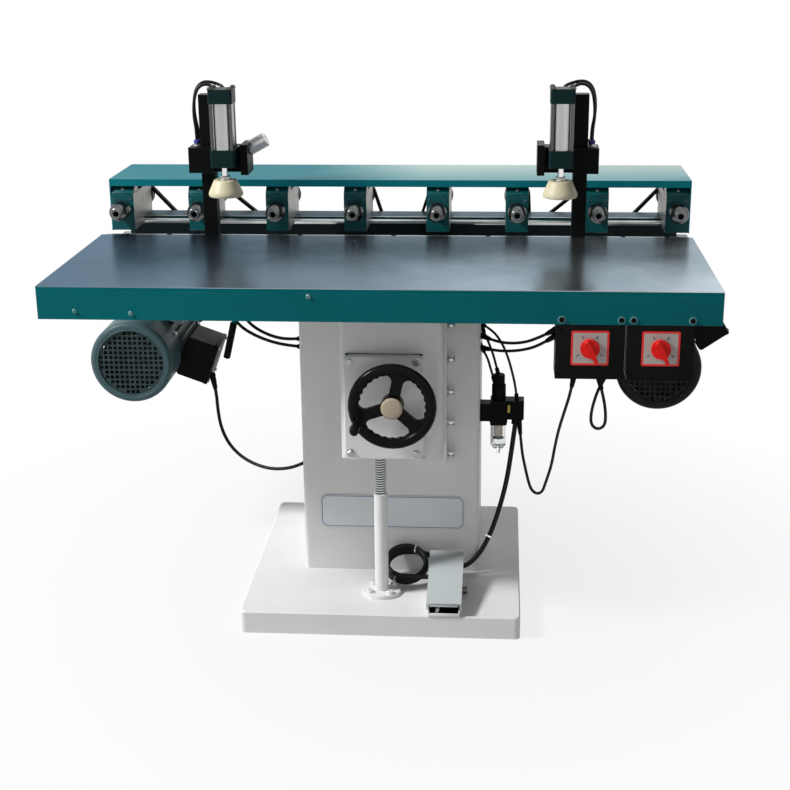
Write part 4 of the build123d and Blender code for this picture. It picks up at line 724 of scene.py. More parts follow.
def cover_finish_painted_glare(name):
    """Glossy teal enamel with fine metal in it, lightened towards the sheet's right and back by a painted reflection
    of glare.
    """
    made, tree, shader = new_finish(name, specular_ior_level=0.1, specular_tint=(0.10, 0.66, 0.76, 1))
    shade = effect(tree, "patchy_tone", {"Color": (0.006, 0.150, 0.178, 1), "Scale": 3, "Amount": 0.1})
    rubbed = effect(
        tree, "worn_edges", {"Color": shade["Color"], "Worn": (0.10, 0.24, 0.25, 1), "Width": 0.002, "Amount": 0.5}
    )
    # A lighter, less metallic patch on the top faces towards the sheet's right and back: a painted reflection of
    # glare on the enamel.
    right = arithmetic(tree, "MULTIPLY", place_mask(tree, "X", -0.24, 0.06), facing_mask(tree, "Z", 0.7, 0.95))
    back = arithmetic(tree, "MULTIPLY_ADD", place_mask(tree, "Y", 0.38, 0.56), 0.42, 0.28)
    haze = arithmetic(tree, "MULTIPLY", right, back)
    cover_with_painted_glare = mix_colours(tree, haze, rubbed["Color"], (0.66, 0.73, 0.68, 1))
    tree.links.new(cover_with_painted_glare, shader["Base Color"])
    tree.links.new(arithmetic(tree, "MULTIPLY_ADD", haze, -0.45, 0.45), shader["Metallic"])
    tree.links.new(spread(tree, shade["Tone"], 0.3, 0.7, 0.26, 0.40), shader["Roughness"])
    tree.links.new(grained(tree, 420, 0.08, 0.0006), shader["Normal"])
    return made


def bed_finish_painted_shade(name):
    """Bed casting: milled bare top, dark teal enamel elsewhere, made near black as painted shade."""
    made, tree, shader = new_finish(name, specular_ior_level=0.2, specular_tint=(0.36, 0.40, 0.43, 1))
    top = facing_mask(tree, "Z", 0.7, 0.9)
    lines = effect(tree, "tool_lines", {"Stretch": (5, 300, 300)})["Lines"]
    milled = effect(tree, "patchy_tone", {"Color": (0.20, 0.235, 0.26, 1), "Scale": 10, "Amount": 0.25})
    # Dark teal paint darkened to near black: painted shade on the bed's front under the guide bar.
    paint = effect(tree, "patchy_tone", {"Color": (0.012, 0.022, 0.025, 1), "Scale": 7, "Amount": 0.2})
    tree.links.new(mix_colours(tree, top, paint["Color"], milled["Color"]), shader["Base Color"])
    tree.links.new(top, shader["Metallic"])
    tree.links.new(arithmetic(tree, "MULTIPLY_ADD", lines, 0.25, 0.24), shader["Roughness"])
    tree.links.new(dented(tree, lines, 0.12, 0.0004), shader["Normal"])
    return made


def switch_face_finish(name):
    """Switch plate: a red frame round a grey panel."""
    made, tree, shader = new_finish(name)
    parts = place_parts(tree)
    middle = (SWITCH_BOXES[0][2] + SWITCH_BOXES[1][2]) / 2
    apart = (SWITCH_BOXES[1][2] - SWITCH_BOXES[0][2]) / 2
    from_middle = arithmetic(tree, "ABSOLUTE", arithmetic(tree, "SUBTRACT", parts["X"], middle))
    aside = arithmetic(tree, "ABSOLUTE", arithmetic(tree, "SUBTRACT", from_middle, apart))
    above = arithmetic(tree, "ABSOLUTE", arithmetic(tree, "SUBTRACT", parts["Z"], SWITCH_PLATE_Z))
    within = arithmetic(tree, "MULTIPLY", spread(tree, aside, *PANEL_ASIDE), spread(tree, above, *PANEL_ABOVE))
    panel = arithmetic(tree, "MULTIPLY", within, spread(tree, parts["Y"], *PANEL_FRONT))
    grey = effect(tree, "patchy_tone", {"Color": (0.42, 0.40, 0.375, 1), "Scale": 30, "Amount": 0.05})
    red = effect(tree, "patchy_tone", {"Color": colour("red"), "Scale": 20, "Amount": 0.08})
    tree.links.new(mix_colours(tree, panel, red["Color"], grey["Color"]), shader["Base Color"])
    tree.links.new(spread(tree, grey["Tone"], 0.3, 0.7, 0.28, 0.42), shader["Roughness"])
    tree.links.new(grained(tree, 900, 0.08, 0.0004), shader["Normal"])
    return made


def chuck_finish(name):
    """Turned chuck and spindle steel: dark all over, and bright where keys and hands rub."""
    made, tree, shader = new_finish(name, metallic=1)
    shade = effect(tree, "patchy_tone", {"Color": (0.20, 0.205, 0.21, 1), "Scale": 26, "Amount": 0.3})
    rubbed = effect(
        tree, "worn_edges", {"Color": shade["Color"], "Worn": (0.55, 0.55, 0.54, 1), "Width": 0.0022, "Amount": 0.8}
    )
    lines = effect(tree, "tool_lines", {"Stretch": (30, 900, 30)})["Lines"]
    tree.links.new(rubbed["Color"], shader["Base Color"])
    tree.links.new(arithmetic(tree, "MULTIPLY_ADD", lines, 0.2, 0.16), shader["Roughness"])
    tree.links.new(dented(tree, lines, 0.14, 0.0004), shader["Normal"])
    return made


def table_plate_finish(name):
    """Ground steel plate with grinding lines, blue-grey clouds and small scratches, painted on its front edge; its
    blue-grey and the lighter grey towards its right are a painted reflection.
    """
    # Blue grazing tint, blue-grey steel and a lighter grey towards the plate's right: painted reflections of the sky
    # and the surroundings.
    made, tree, shader = new_finish(name, specular_ior_level=0.06, specular_tint=(0.45, 0.55, 0.62, 1))
    across = place_mask(tree, "X", -0.75, 0.75)
    tint = mix_colours(tree, across, colour("table_steel_sky_tint"), (0.50, 0.505, 0.51, 1))
    clouds = effect(tree, "patchy_tone", {"Color": tint, "Scale": 2.2, "Amount": 0.28})
    lines = effect(tree, "tool_lines", {"Stretch": (3, 260, 260)})["Lines"]
    scratches = effect(tree, "tool_lines", {"Stretch": (420, 12, 12)})["Lines"]
    fine = mix_colours(tree, spread(tree, lines, 0.5, 0.8, 0, 0.35), clouds["Color"], (0.30, 0.33, 0.35, 1))
    steel = mix_colours(tree, spread(tree, scratches, 0.68, 0.78, 0, 0.3), fine, (0.45, 0.47, 0.48, 1))
    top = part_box("table_top")[1][2]
    below = place_mask(tree, "Z", top - 0.0012, top - 0.0020)
    paint = arithmetic(tree, "MULTIPLY", below, facing_mask(tree, "Y", -0.7, -0.9))
    tree.links.new(mix_colours(tree, paint, steel, colour("teal")), shader["Base Color"])
    tree.links.new(arithmetic(tree, "SUBTRACT", 1, paint), shader["Metallic"])
    tree.links.new(arithmetic(tree, "MULTIPLY_ADD", clouds["Tone"], 0.22, 0.12), shader["Roughness"])
    tree.links.new(dented(tree, lines, 0.12, 0.0004), shader["Normal"])
    return made


def head_finish_painted_shade(name):
    """Boring head casting: teal enamel on the front and top, darker than the table's teal as painted shade, bare grey
    metal on the milled sides.
    """
    made, tree, shader = new_finish(name, specular_ior_level=0.2)
    side = spread(tree, arithmetic(tree, "ABSOLUTE", normal_parts(tree)["X"]), 0.6, 0.7)
    # Teal darkened to about half of the table's teal: painted shade on the heads under the cover.
    paint = effect(tree, "patchy_tone", {"Color": (0.0007, 0.068, 0.075, 1), "Scale": 9, "Amount": 0.1})
    rubbed = effect(
        tree, "worn_edges", {"Color": paint["Color"], "Worn": (0.32, 0.33, 0.32, 1), "Width": 0.002, "Amount": 0.8}
    )
    lines = effect(tree, "tool_lines", {"Stretch": (300, 40, 300)})["Lines"]
    milled = effect(tree, "patchy_tone", {"Color": (0.40, 0.395, 0.365, 1), "Scale": 14, "Amount": 0.16})
    tree.links.new(mix_colours(tree, side, rubbed["Color"], milled["Color"]), shader["Base Color"])
    tree.links.new(arithmetic(tree, "MULTIPLY", side, 0.55), shader["Metallic"])
    tree.links.new(arithmetic(tree, "MULTIPLY_ADD", lines, 0.2, 0.28), shader["Roughness"])
    tree.links.new(dented(tree, lines, 0.1, 0.0004), shader["Normal"])
    return made


def bowl_finish(name):
    """Clear plastic bowl with a faint haze."""
    made, tree, shader = new_finish(name, base_color=(0.93, 0.95, 0.94, 1), transmission_weight=1, ior=1.49)
    haze = effect(tree, "patchy_tone", {"Scale": 60, "Amount": 0.1})["Tone"]
    tree.links.new(spread(tree, haze, 0.3, 0.7, 0.03, 0.14), shader["Roughness"])
    return made


FINISHES = {
    "white_enamel": partial(
        enamel, tint="white", roughness=0.40, worn=(0.45, 0.44, 0.42, 1), wear=0.3, dust=0.14, tone=0.04,
    ),
    "pedal_enamel": partial(
        enamel, tint=(0.50, 0.545, 0.55, 1), roughness=0.36, worn=(0.40, 0.42, 0.42, 1), wear=0.5, dust=0.1,
        tone=0.04,
    ),
    "teal_enamel": partial(
        enamel, tint="teal", roughness=0.30, worn=(0.10, 0.24, 0.25, 1), wear=0.5, dust=0.01, tone=0.07,
        gloss=0.06,
    ),
    "black_lacquer": partial(
        enamel, tint="black", roughness=0.40, worn=(0.07, 0.07, 0.07, 1), wear=0.4, dust=0.01, tone=0.1,
        gloss=0.04,
    ),
    "cap_lacquer": partial(
        enamel, tint="cap_green", roughness=0.38, worn=(0.10, 0.14, 0.14, 1), wear=0.5, dust=0.01, tone=0.1,
        gloss=0.05,
    ),
    # Teal of the apron's washers, lighter than the apron's: a painted highlight on their rims.
    "washer_teal_highlight": partial(
        enamel, tint=(0.06, 0.24, 0.25, 1), roughness=0.3, worn=(0.30, 0.36, 0.36, 1), wear=0.8, dust=0.0,
        tone=0.05,
    ),
    "hanger_enamel": partial(
        enamel, tint=(0.20, 0.23, 0.235, 1), roughness=0.38, worn=(0.3, 0.31, 0.31, 1), wear=0.6, dust=0.08,
        tone=0.08,
    ),
    "blue_line": partial(enamel, tint=(0.03, 0.10, 0.30, 1), roughness=0.4, wear=0.2, dust=0.02),
    "plate_white": partial(
        enamel, tint=(0.74, 0.765, 0.79, 1), roughness=0.34, worn=(0.45, 0.45, 0.45, 1), wear=0.2, dust=0.02,
        tone=0.03,
    ),
    "tag_yellow": partial(
        moulding, tint=(0.55, 0.50, 0.08, 1), roughness=0.45, grain=700, depth=0.08, tone=0.06, dust=0.0,
    ),
    # Black of the fan rotors, and of the chucks' bore linings as painted shade.
    "rotor_black_and_bore_shade": partial(
        moulding, tint=(0.010, 0.011, 0.012, 1), roughness=0.5, grain=300, depth=0.2, tone=0.2, dust=0.03,
        gloss=0.12,
    ),
    "black_moulding_and_shade": partial(moulding, tint=(0.005, 0.005, 0.005, 1), roughness=0.44, dust=0.01, gloss=0.05),
    "wheel_moulding": partial(
        moulding, tint="black", roughness=0.22, grain=300, depth=0.1, tone=0.1, dust=0.01, gloss=0.07,
    ),
    "hose_rubber": partial(
        moulding, tint=(0.007, 0.007, 0.008, 1), roughness=0.38, grain=500, depth=0.2, tone=0.2, dust=0.03,
        gloss=0.14,
    ),
    "belt_rubber": partial(
        moulding, tint=(0.012, 0.012, 0.012, 1), roughness=0.6, grain=700, depth=0.5, tone=0.25, dust=0.06,
        gloss=0.12,
    ),
    "pad_polymer": partial(moulding, tint="cream", roughness=0.42, grain=500, depth=0.12, tone=0.07, dust=0.02),
    "switch_red": partial(
        moulding, tint="red", roughness=0.26, grain=400, depth=0.06, tone=0.05, dust=0.0, gloss=0.16,
    ),
    "beige_cap": partial(moulding, tint="beige", roughness=0.40, grain=500, depth=0.1, tone=0.06, dust=0.02),
    "fitting_blue": partial(
        moulding, tint=(0.03, 0.04, 0.30, 1), roughness=0.35, grain=600, depth=0.1, tone=0.05, dust=0.0,
    ),
    "knurled_steel": partial(
        bare_metal, tint=(0.56, 0.56, 0.54, 1), roughness=0.34, stretch=(200, 200, 200), tone=0.1, stain=0.3,
    ),
    "sleeve_steel": partial(
        bare_metal, tint=(0.145, 0.146, 0.148, 1), roughness=0.22, stretch=(40, 900, 40), tone=0.2, stain=0.5,
        rim=0.5,
    ),
    "bright_steel": partial(bare_metal, tint="bright_steel", roughness=0.24),
    "bar_steel": partial(
        bare_metal, tint=(0.50, 0.53, 0.54, 1), roughness=0.2, stretch=(3, 90, 90), tone=0.35, stain=0.5,
        rim=0.7,
    ),
    "dark_bolt": partial(
        bare_metal, tint=(0.10, 0.095, 0.085, 1), roughness=0.40, stretch=(300, 300, 300), tone=0.2, stain=0.3,
        rim=0.3,
    ),
    "rail_steel": partial(
        bare_metal, tint=(0.66, 0.67, 0.67, 1), roughness=0.34, stretch=(4, 300, 300), tone=0.1,
    ),
    "machined_iron": partial(
        bare_metal, tint="machined_iron", roughness=0.42, stretch=(10, 260, 260), tone=0.16, stain=0.35,
    ),
    "turned_steel": partial(
        bare_metal, tint=(0.34, 0.345, 0.35, 1), roughness=0.30, stretch=(30, 700, 30), tone=0.18, stain=0.5,
    ),
    "screw_steel": partial(
        bare_metal, tint=thread_groove_shade_tint, roughness=0.34, stretch=(300, 300, 60), tone=0.18, stain=0.4,
    ),
    "zinc": partial(bare_metal, tint=(0.38, 0.38, 0.36, 1), roughness=0.36, stretch=(200, 200, 200), tone=0.15),
    "chrome": partial(
        bare_metal, tint=(0.78, 0.78, 0.77, 1), roughness=0.16, stretch=(200, 200, 20), tone=0.04, stain=0.1,
    ),
    "barrel_alloy": partial(
        bare_metal, tint=(0.46, 0.455, 0.445, 1), roughness=0.30, stretch=(500, 500, 5), tone=0.05, stain=0.2,
    ),
    "clamp_barrel": partial(
        bare_metal, tint=barrel_tint, roughness=0.30, stretch=(500, 500, 5), tone=0.05, stain=0.2,
    ),
    "cowl_enamel": cowl_finish_shaded_right,
    "cover_enamel": cover_finish_painted_glare,
    "switch_face": switch_face_finish,
    "bed_casting": bed_finish_painted_shade,
    "chuck_steel": chuck_finish,
    "table_plate_steel": table_plate_finish,
    "head_casting": head_finish_painted_shade,
    "clear_bowl_plastic": bowl_finish,
}
MADE_FINISHES = {}


def finish(name):
    """Material of that finish, made once."""
    if name not in MADE_FINISHES:
        MADE_FINISHES[name] = FINISHES[name](name)
    return MADE_FINISHES[name]


NODE_FINISHES = {
    "white_enamel": ("base_shell", "column_shell", "nut_tube", "knee_slide", "gear_cover", "pedal_base"),
    "pedal_enamel": ("pedal_plate",),
    "teal_enamel": ("table_frame",),
    "cover_enamel": ("cover",),
    "table_plate_steel": ("table_top",),
    "rail_steel": ("post_rail",),
    "machined_iron": ("guide_rails", "saddle"),
    "bed_casting": ("bed",),
    "bright_steel": ("feed_rod", "gib_strip"),
    "bar_steel": ("guide_bar",),
    "barrel_alloy": ("feed_cylinder",),
    "clamp_barrel": ("cylinder_barrels",),
    "black_lacquer": ("clamp_posts", "clamp_brackets", "air_filter_unit"),
    "cap_lacquer": ("cylinder_caps",),
    "wheel_moulding": ("handwheel", "handwheel_grip"),
    "black_moulding_and_shade": ("switch_boxes", "terminal_boxes"),
    "switch_red": ("switch_knob_left", "switch_knob_right"),
    "switch_face": ("switch_plates",),
    "cowl_enamel": ("motor_housings",),
    "hanger_enamel": ("motor_plates",),
    "belt_rubber": ("drive_belts",),
    "head_casting": ("boring_heads",),
    "clear_bowl_plastic": ("filter_bowl",),
    "chuck_steel": tuple(f"spindle_{number}" for number in range(1, 9)),
    "rotor_black_and_bore_shade": ("motor_rotor_left", "motor_rotor_right"),
    "turned_steel": tuple(
        f"idler_{hand}_{spot}" for hand in HANDS for spot in ("outer", "middle", "inner")
    ),
}


def link_object(name, data):
    """Object at the origin, in the scene."""
    made = bpy.data.objects.new(name, data)
    bpy.context.scene.collection.objects.link(made)
    return made


def cord_curve(name, points):
    """Smooth line with the route's points as its control points."""
    curve = bpy.data.curves.new(name, "CURVE")
    curve.dimensions = "3D"
    curve.resolution_u = 10
    curve.bevel_resolution = 5
    curve.use_fill_caps = True
    spline = curve.splines.new("NURBS")
    spline.points.add(len(points) - 1)
    for control, place in zip(spline.points, points):
        control.co = (*place, 1)
    spline.order_u = 3
    spline.use_endpoint_u = True
    return curve


def curve_mesh(curve):
    """Mesh of a curve as it shows."""
    holder = link_object("cord_holder", curve)
    bpy.context.view_layer.update()
    mesh = bpy.data.meshes.new_from_object(holder.evaluated_get(bpy.context.evaluated_depsgraph_get()))
    bpy.data.objects.remove(holder)
    return mesh


def cord_piece(name, route, diameter, bodies, replaced):
    """Tube along a route that rides on one body, or stays unattached where it runs between two."""
    curve = cord_curve(name, route)
    path = [tuple(vertex.co) for vertex in curve_mesh(curve).vertices]
    curve.bevel_depth = diameter / 2
    mesh = curve_mesh(curve)
    mesh.name = name
    mesh.shade_smooth()
    mesh.materials.clear()
    mesh.materials.append(finish("hose_rubber"))
    piece = link_object(name, mesh)
    if len(bodies) == 2:
        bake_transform(piece)
    else:
        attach(piece, bodies[0])
    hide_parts(*replaced)


class MACHINE_OT_cords(bpy.types.Operator):
    """Cables and hoses of the machine"""

    bl_idname = "machine.cords"
    bl_label = "Cables and hoses"

    def execute(self, context):
        lift = ("knee_table", "frame")
        cord_piece("box_cable_upper", BOX_CABLE_UPPER, CABLE, lift, ("table_cables",))
        cord_piece("box_cable_lower", BOX_CABLE_LOWER, CABLE, lift, ())
        cord_piece("power_lead", POWER_LEAD, CABLE, lift, ())
        cord_piece("switch_loop", SWITCH_LOOP, CABLE, ("knee_table",), ())
        cord_piece("left_hose_outer", LEFT_HOSE_OUTER, HOSE, lift, ())
        cord_piece("left_hose_inner", LEFT_HOSE_INNER, HOSE, lift, ())
        for side, hand in zip(SIDES, HANDS):
            for row, route, length in (("rear", CLAMP_HOSE_REAR, 0.232), ("front", CLAMP_HOSE_FRONT, 0.194)):
                handed = route if side > 0 else mirrored(route)
                cord_piece(f"clamp_hose_{hand}_{row}", handed, HOSE, ("knee_table",), ("clamp_hoses",))
        cord_piece("motor_lead_cable", MOTOR_LEAD, LEAD, ("carriage", "frame"), ("motor_lead",))
        coiled = PEDAL_HOSE + coil_points()
        cord_piece("foot_valve_hose", coiled, FOOT_HOSE, ("frame",), ("pedal_hose", "hose_coil"))
        cord_piece("unit_tube_upper", UNIT_TUBE_UPPER, TUBE, ("frame",), ())
        cord_piece("unit_tube_lower", UNIT_TUBE_LOWER, TUBE, ("frame",), ())
        cord_piece("unit_tube_outer", UNIT_TUBE_OUTER, TUBE, ("frame",), ())
        return {"FINISHED"}


def strain_relief(route, diameter, reach, at_end=False):
    """Nut over a gland and a ribbed taper along the cord that comes out of it."""
    first, second = (Vector(route[spot]) for spot in ((-1, -2) if at_end else (0, 1)))
    radius = diameter / 2
    gland = radius * GLAND_RATIO
    nut, neck = gland + 0.0014, gland + 0.0004
    outline = [(radius, -GLAND_LENGTH), (nut, -GLAND_LENGTH), (nut, -0.009), (neck, -0.008)]
    for rib in range(RELIEF_RIBS):
        start, end, following = (reach * (rib + share) / RELIEF_RIBS for share in (0, 0.6, 1))
        thick = neck + (radius + 0.0008 - gland) * rib / RELIEF_RIBS
        groove = thick - 0.0007
        outline += [(thick, start), (thick, end), (groove, end), (groove, following)]
    outline.append((radius * 0.9, reach))
    return turned_shape(outline, first, second - first, 20)


class MACHINE_OT_strain_reliefs(bpy.types.Operator):
    """Nuts and ribbed tapers where cables and hoses leave the boxes, the column and the air unit"""

    bl_idname = "machine.strain_reliefs"
    bl_label = "Strain reliefs"

    def execute(self, context):
        cables = (BOX_CABLE_UPPER, BOX_CABLE_LOWER)
        at_box = [strain_relief(route, CABLE, CABLE_RELIEF) for route in (*cables, POWER_LEAD, SWITCH_LOOP)]
        at_box.append(strain_relief(SWITCH_LOOP, CABLE, CABLE_RELIEF, True))
        new_piece("box_reliefs", at_box, ["black_moulding_and_shade"], "knee_table")
        at_column = [strain_relief(route, CABLE, CABLE_RELIEF, True) for route in cables]
        for route in (LEFT_HOSE_OUTER, LEFT_HOSE_INNER):
            at_column.append(strain_relief(route, HOSE, HOSE_RELIEF, True))
        for route in (UNIT_TUBE_UPPER, UNIT_TUBE_LOWER, UNIT_TUBE_OUTER):
            at_column.append(strain_relief(route, TUBE, TUBE_RELIEF))
        at_column.append(strain_relief(MOTOR_LEAD, LEAD, LEAD_RELIEF, True))
        at_column.append(strain_relief(POWER_LEAD, CABLE, CABLE_RELIEF, True))
        new_piece("column_reliefs", at_column, ["black_moulding_and_shade"], "frame")
        at_motor = [strain_relief(MOTOR_LEAD, LEAD, MOTOR_RELIEF)]
        new_piece("motor_relief", at_motor, ["black_moulding_and_shade"], "carriage")
        return {"FINISHED"}


class MACHINE_OT_finishes(bpy.types.Operator):
    """Finishes of the solids that show as they are"""

    bl_idname = "machine.finishes"
    bl_label = "Finishes of the solids"

    def execute(self, context):
        for name, nodes in NODE_FINISHES.items():
            for node_name in nodes:
                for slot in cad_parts[node_name].material_slots:
                    slot.material = finish(name)
        return {"FINISHED"}


def joined(shapes):
    """One bmesh from several."""
    total = bmesh.new()
    for shape in shapes:
        carrier = bpy.data.meshes.new("carrier")
        shape.to_mesh(carrier)
        shape.free()
        total.from_mesh(carrier)
        bpy.data.meshes.remove(carrier)
    return total


def new_piece(name, shapes, finishes, body, replaced=()):
    """Piece of the scene from its shapes, riding on a body."""
    total = joined(shapes)
    mesh = bpy.data.meshes.new(name)
    total.to_mesh(mesh)
    total.free()
    mesh.shade_smooth()
    mesh.set_sharp_from_angle(angle=SHARP_ANGLE)
    for label in finishes:
        mesh.materials.append(finish(label))
    piece = link_object(name, mesh)
    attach(piece, body)
    if replaced:
        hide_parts(*replaced)


def box_of(node):
    """Lowest and highest corner of one of the solids."""
    return tuple(Vector(corner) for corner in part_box(node))


def set_on(shape, place, axis):
    """Shape moved to a place, with its Z axis turned to another direction."""
    turn = UP.rotation_difference(Vector(axis)).to_matrix().to_4x4()
    bmesh.ops.transform(shape, matrix=Matrix.Translation(place) @ turn, verts=shape.verts)
    return shape


def bevel_edges(shape, edges, offset, segments=1):
    """Edges of a shape chamfered, or rounded with more segments."""
    bmesh.ops.bevel(shape, geom=edges, offset=offset, segments=segments, profile=0.5, affect="EDGES", material=-1)


def block(low, high):
    """Box between two corners."""
    low, high = Vector(low), Vector(high)
    shape = bmesh.new()
    bmesh.ops.create_cube(shape, size=1)
    bmesh.ops.scale(shape, vec=high - low, verts=shape.verts)
    bmesh.ops.translate(shape, vec=(low + high) / 2, verts=shape.verts)
    return shape


def rounded_block(low, high, radius, segments=2):
    """Box between two corners with rounded edges."""
    shape = block(low, high)
    bevel_edges(shape, shape.edges[:], radius, segments)
    return shape


def prism(sides, radius, height, base=0.0):
    """Upright prism on the plain axes."""
    shape = bmesh.new()
    bmesh.ops.create_cone(
        shape, cap_ends=True, segments=sides, radius1=radius, radius2=radius, depth=height,
        matrix=Matrix.Translation((0, 0, base + height / 2)),
    )
    return shape


def turned_shape(outline, place, axis=UP, steps=32):
    """Turned piece from points of radius and height along an axis."""
    shape = bmesh.new()
    corners = [shape.verts.new((radius, 0, height)) for radius, height in outline]
    lines = [shape.edges.new(pair) for pair in zip(corners, corners[1:])]
    bmesh.ops.spin(
        shape, geom=corners + lines, cent=(0, 0, 0), axis=UP, angle=FULL_TURN, steps=steps, use_merge=True
    )
    bmesh.ops.remove_doubles(shape, verts=shape.verts, dist=1e-6)
    bmesh.ops.recalc_face_normals(shape, faces=shape.faces)
    return set_on(shape, place, axis)


def hex_head(place, axis, radius, height, washer=True):
    """Hexagon bolt head with a chamfered top, on a washer or bare."""
    thick = height / 4
    shape = prism(6, radius, height, thick)
    top = [edge for edge in shape.edges if all(vertex.co.z > height for vertex in edge.verts)]
    bevel_edges(shape, top, height / 6)
    shapes = [set_on(shape, place, axis)]
    if washer:
        rim = radius * 1.35
        outline = [(0, 0), (rim, 0), (rim, thick * 0.7), (rim * 0.95, thick), (0, thick)]
        shapes.append(turned_shape(outline, place, axis, 20))
    return joined(shapes)


def top_face(shape):
    """Highest face of a shape."""
    return max(shape.faces, key=lambda face: face.calc_center_median().z)


def socket_head(place, axis, radius, height):
    """Round screw head with a round socket."""
    shape = prism(18, radius, height)
    bevel_edges(shape, top_face(shape).edges[:], radius * 0.12)
    top = top_face(shape)
    bmesh.ops.inset_individual(shape, faces=[top], thickness=radius * 0.38)
    sunk = bmesh.ops.extrude_discrete_faces(shape, faces=[top])["faces"][0]
    bmesh.ops.translate(shape, vec=(0, 0, -height * 0.55), verts=sunk.verts)
    return set_on(shape, place, axis)


def dyed(shape, index):
    """Shape whose faces take the finish at that place in its piece's list."""
    for face in shape.faces:
        face.material_index = index
    return shape


def ray_at(angle):
    """Direction at an angle in the plane of the machine's front."""
    return Vector((math.cos(angle), 0, math.sin(angle)))


def placed(shape, right, upward, outward, place=(0, 0, 0)):
    """Shape moved from plain axes to a frame of its own."""
    turn = Matrix((right, upward, outward)).transposed().to_4x4()
    bmesh.ops.transform(shape, matrix=Matrix.Translation(place) @ turn, verts=shape.verts)
    return shape


def ribbed_sleeve(start, end, radius, ribs, depth):
    """Round sleeve between two points, with ribs along it."""
    run = end - start
    shape = prism(2 * ribs, radius - depth, run.length)
    shape.normal_update()
    sides = [face for face in shape.faces if abs(face.normal.z) < 0.5]
    outward = [face.normal.copy() for face in sides[::2]]
    raised = bmesh.ops.extrude_discrete_faces(shape, faces=sides[::2])["faces"]
    for face, normal in zip(raised, outward):
        bmesh.ops.translate(shape, vec=normal * depth, verts=face.verts)
    return set_on(shape, start, run)


def threaded_rod(place, low, high, radius, depth, pitch, steps=28):
    """Rod with a square-shouldered thread: one line that climbs a pitch as it is spun once round."""
    shape = bmesh.new()
    corners = []
    for turn in range(round((high - low) / pitch)):
        for climb, inward in THREAD_TURN:
            corners.append(shape.verts.new((radius - inward * depth, 0, low + (turn + climb) * pitch)))
    lines = [shape.edges.new(pair) for pair in zip(corners, corners[1:])]
    bmesh.ops.spin(
        shape, geom=corners + lines, cent=(0, 0, 0), axis=UP, dvec=(0, 0, pitch / steps), angle=FULL_TURN,
        steps=steps, use_merge=False,
    )
    bmesh.ops.remove_doubles(shape, verts=shape.verts, dist=2e-5)
    bmesh.ops.recalc_face_normals(shape, faces=shape.faces)
    bmesh.ops.translate(shape, vec=(*place, 0), verts=shape.verts)
    return shape


class MACHINE_OT_lifting_screw(bpy.types.Operator):
    """Threaded lifting screw and the bolts of its nut's flange"""

    bl_idname = "machine.lifting_screw"
    bl_label = "Lifting screw"

    def execute(self, context):
        sizes = context.scene.machine_sizes
        low, high = box_of("elevating_screw")
        place = ((low + high) / 2).xy
        thread = threaded_rod(place, low.z, COLLAR_Z + 0.004, SCREW_RADIUS, sizes.thread_depth, sizes.thread_pitch)
        core = SCREW_RADIUS - sizes.thread_depth - 0.0001
        collar_top = COLLAR_Z + COLLAR_THICK
        stem = turned_shape(
            [
                (0, low.z + 0.001), (core, low.z + 0.001), (core, COLLAR_Z),
                (COLLAR_RADIUS - COLLAR_CHAMFER, COLLAR_Z), (COLLAR_RADIUS, COLLAR_Z + COLLAR_CHAMFER),
                (COLLAR_RADIUS, collar_top - COLLAR_CHAMFER), (COLLAR_RADIUS - COLLAR_CHAMFER, collar_top),
                (SCREW_RADIUS, collar_top),
                (SCREW_RADIUS, GEAR_SEAT[0]), (GEAR_SEAT_RADIUS, GEAR_SEAT[0]),
                (GEAR_SEAT_RADIUS, GEAR_SEAT[1]), (SCREW_RADIUS, GEAR_SEAT[1]),
                (SCREW_RADIUS, high.z - 0.002), (SCREW_RADIUS - 0.002, high.z), (0, high.z),
            ],
            (*place, 0),
        )
        new_piece("threaded_screw", [thread, stem], ["screw_steel"], "screw", ["elevating_screw"])
        flange = Vector((*place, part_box("nut_tube")[0][2] + FLANGE_THICK))
        bolts = []
        for quarter in range(4):
            angle = math.radians(FLANGE_START + 90 * quarter)
            ray = Vector((math.cos(angle), math.sin(angle), 0))
            bolts.append(socket_head(flange + ray * FLANGE_RING, UP, *FLANGE_BOLT))
        new_piece("flange_bolts", bolts, ["white_enamel"], "frame")
        return {"FINISHED"}


class MACHINE_OT_column_plate(bpy.types.Operator):
    """Bare plate with a thin blue border on the column's front"""

    bl_idname = "machine.column_plate"
    bl_label = "Column plate"

    def execute(self, context):
        border = context.scene.machine_sizes.plate_border
        shape = bmesh.new()
        bmesh.ops.create_grid(shape, x_segments=1, y_segments=1, size=0.5)
        bmesh.ops.scale(shape, vec=(PLATE_WIDTH, PLATE_HEIGHT, 1), verts=shape.verts)
        bmesh.ops.bevel(
            shape, geom=shape.verts[:], offset=PLATE_CORNER, segments=1, profile=0.5, affect="VERTICES", material=-1
        )
        inner = shape.faces[:]
        bmesh.ops.inset_region(shape, faces=inner, thickness=PLATE_MARGIN, use_boundary=True)
        line = bmesh.ops.inset_region(shape, faces=inner, thickness=border, use_boundary=True)["faces"]
        for face in line:
            face.material_index = 1
        bmesh.ops.solidify(shape, geom=shape.faces[:], thickness=-PLATE_THICK)
        bmesh.ops.recalc_face_normals(shape, faces=shape.faces)
        middle = Vector((PLATE_X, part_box("column_shell")[0][1] + COLUMN_WAY - PLATE_PROUD, PLATE_Z))
        placed(shape, RIGHT, UP, FRONT, middle)
        aside, above = PLATE_WIDTH / 2 - PLATE_RIVET_INSET, PLATE_HEIGHT / 2 - PLATE_RIVET_INSET
        rivets = [
            dyed(turned_shape(PLATE_RIVET, middle + Vector((across * aside, 0, along * above)), FRONT, 12), 2)
            for across in SIDES for along in SIDES
        ]
        new_piece("column_plate", [shape, *rivets], ["plate_white", "blue_line", "zinc"], "frame")
        return {"FINISHED"}


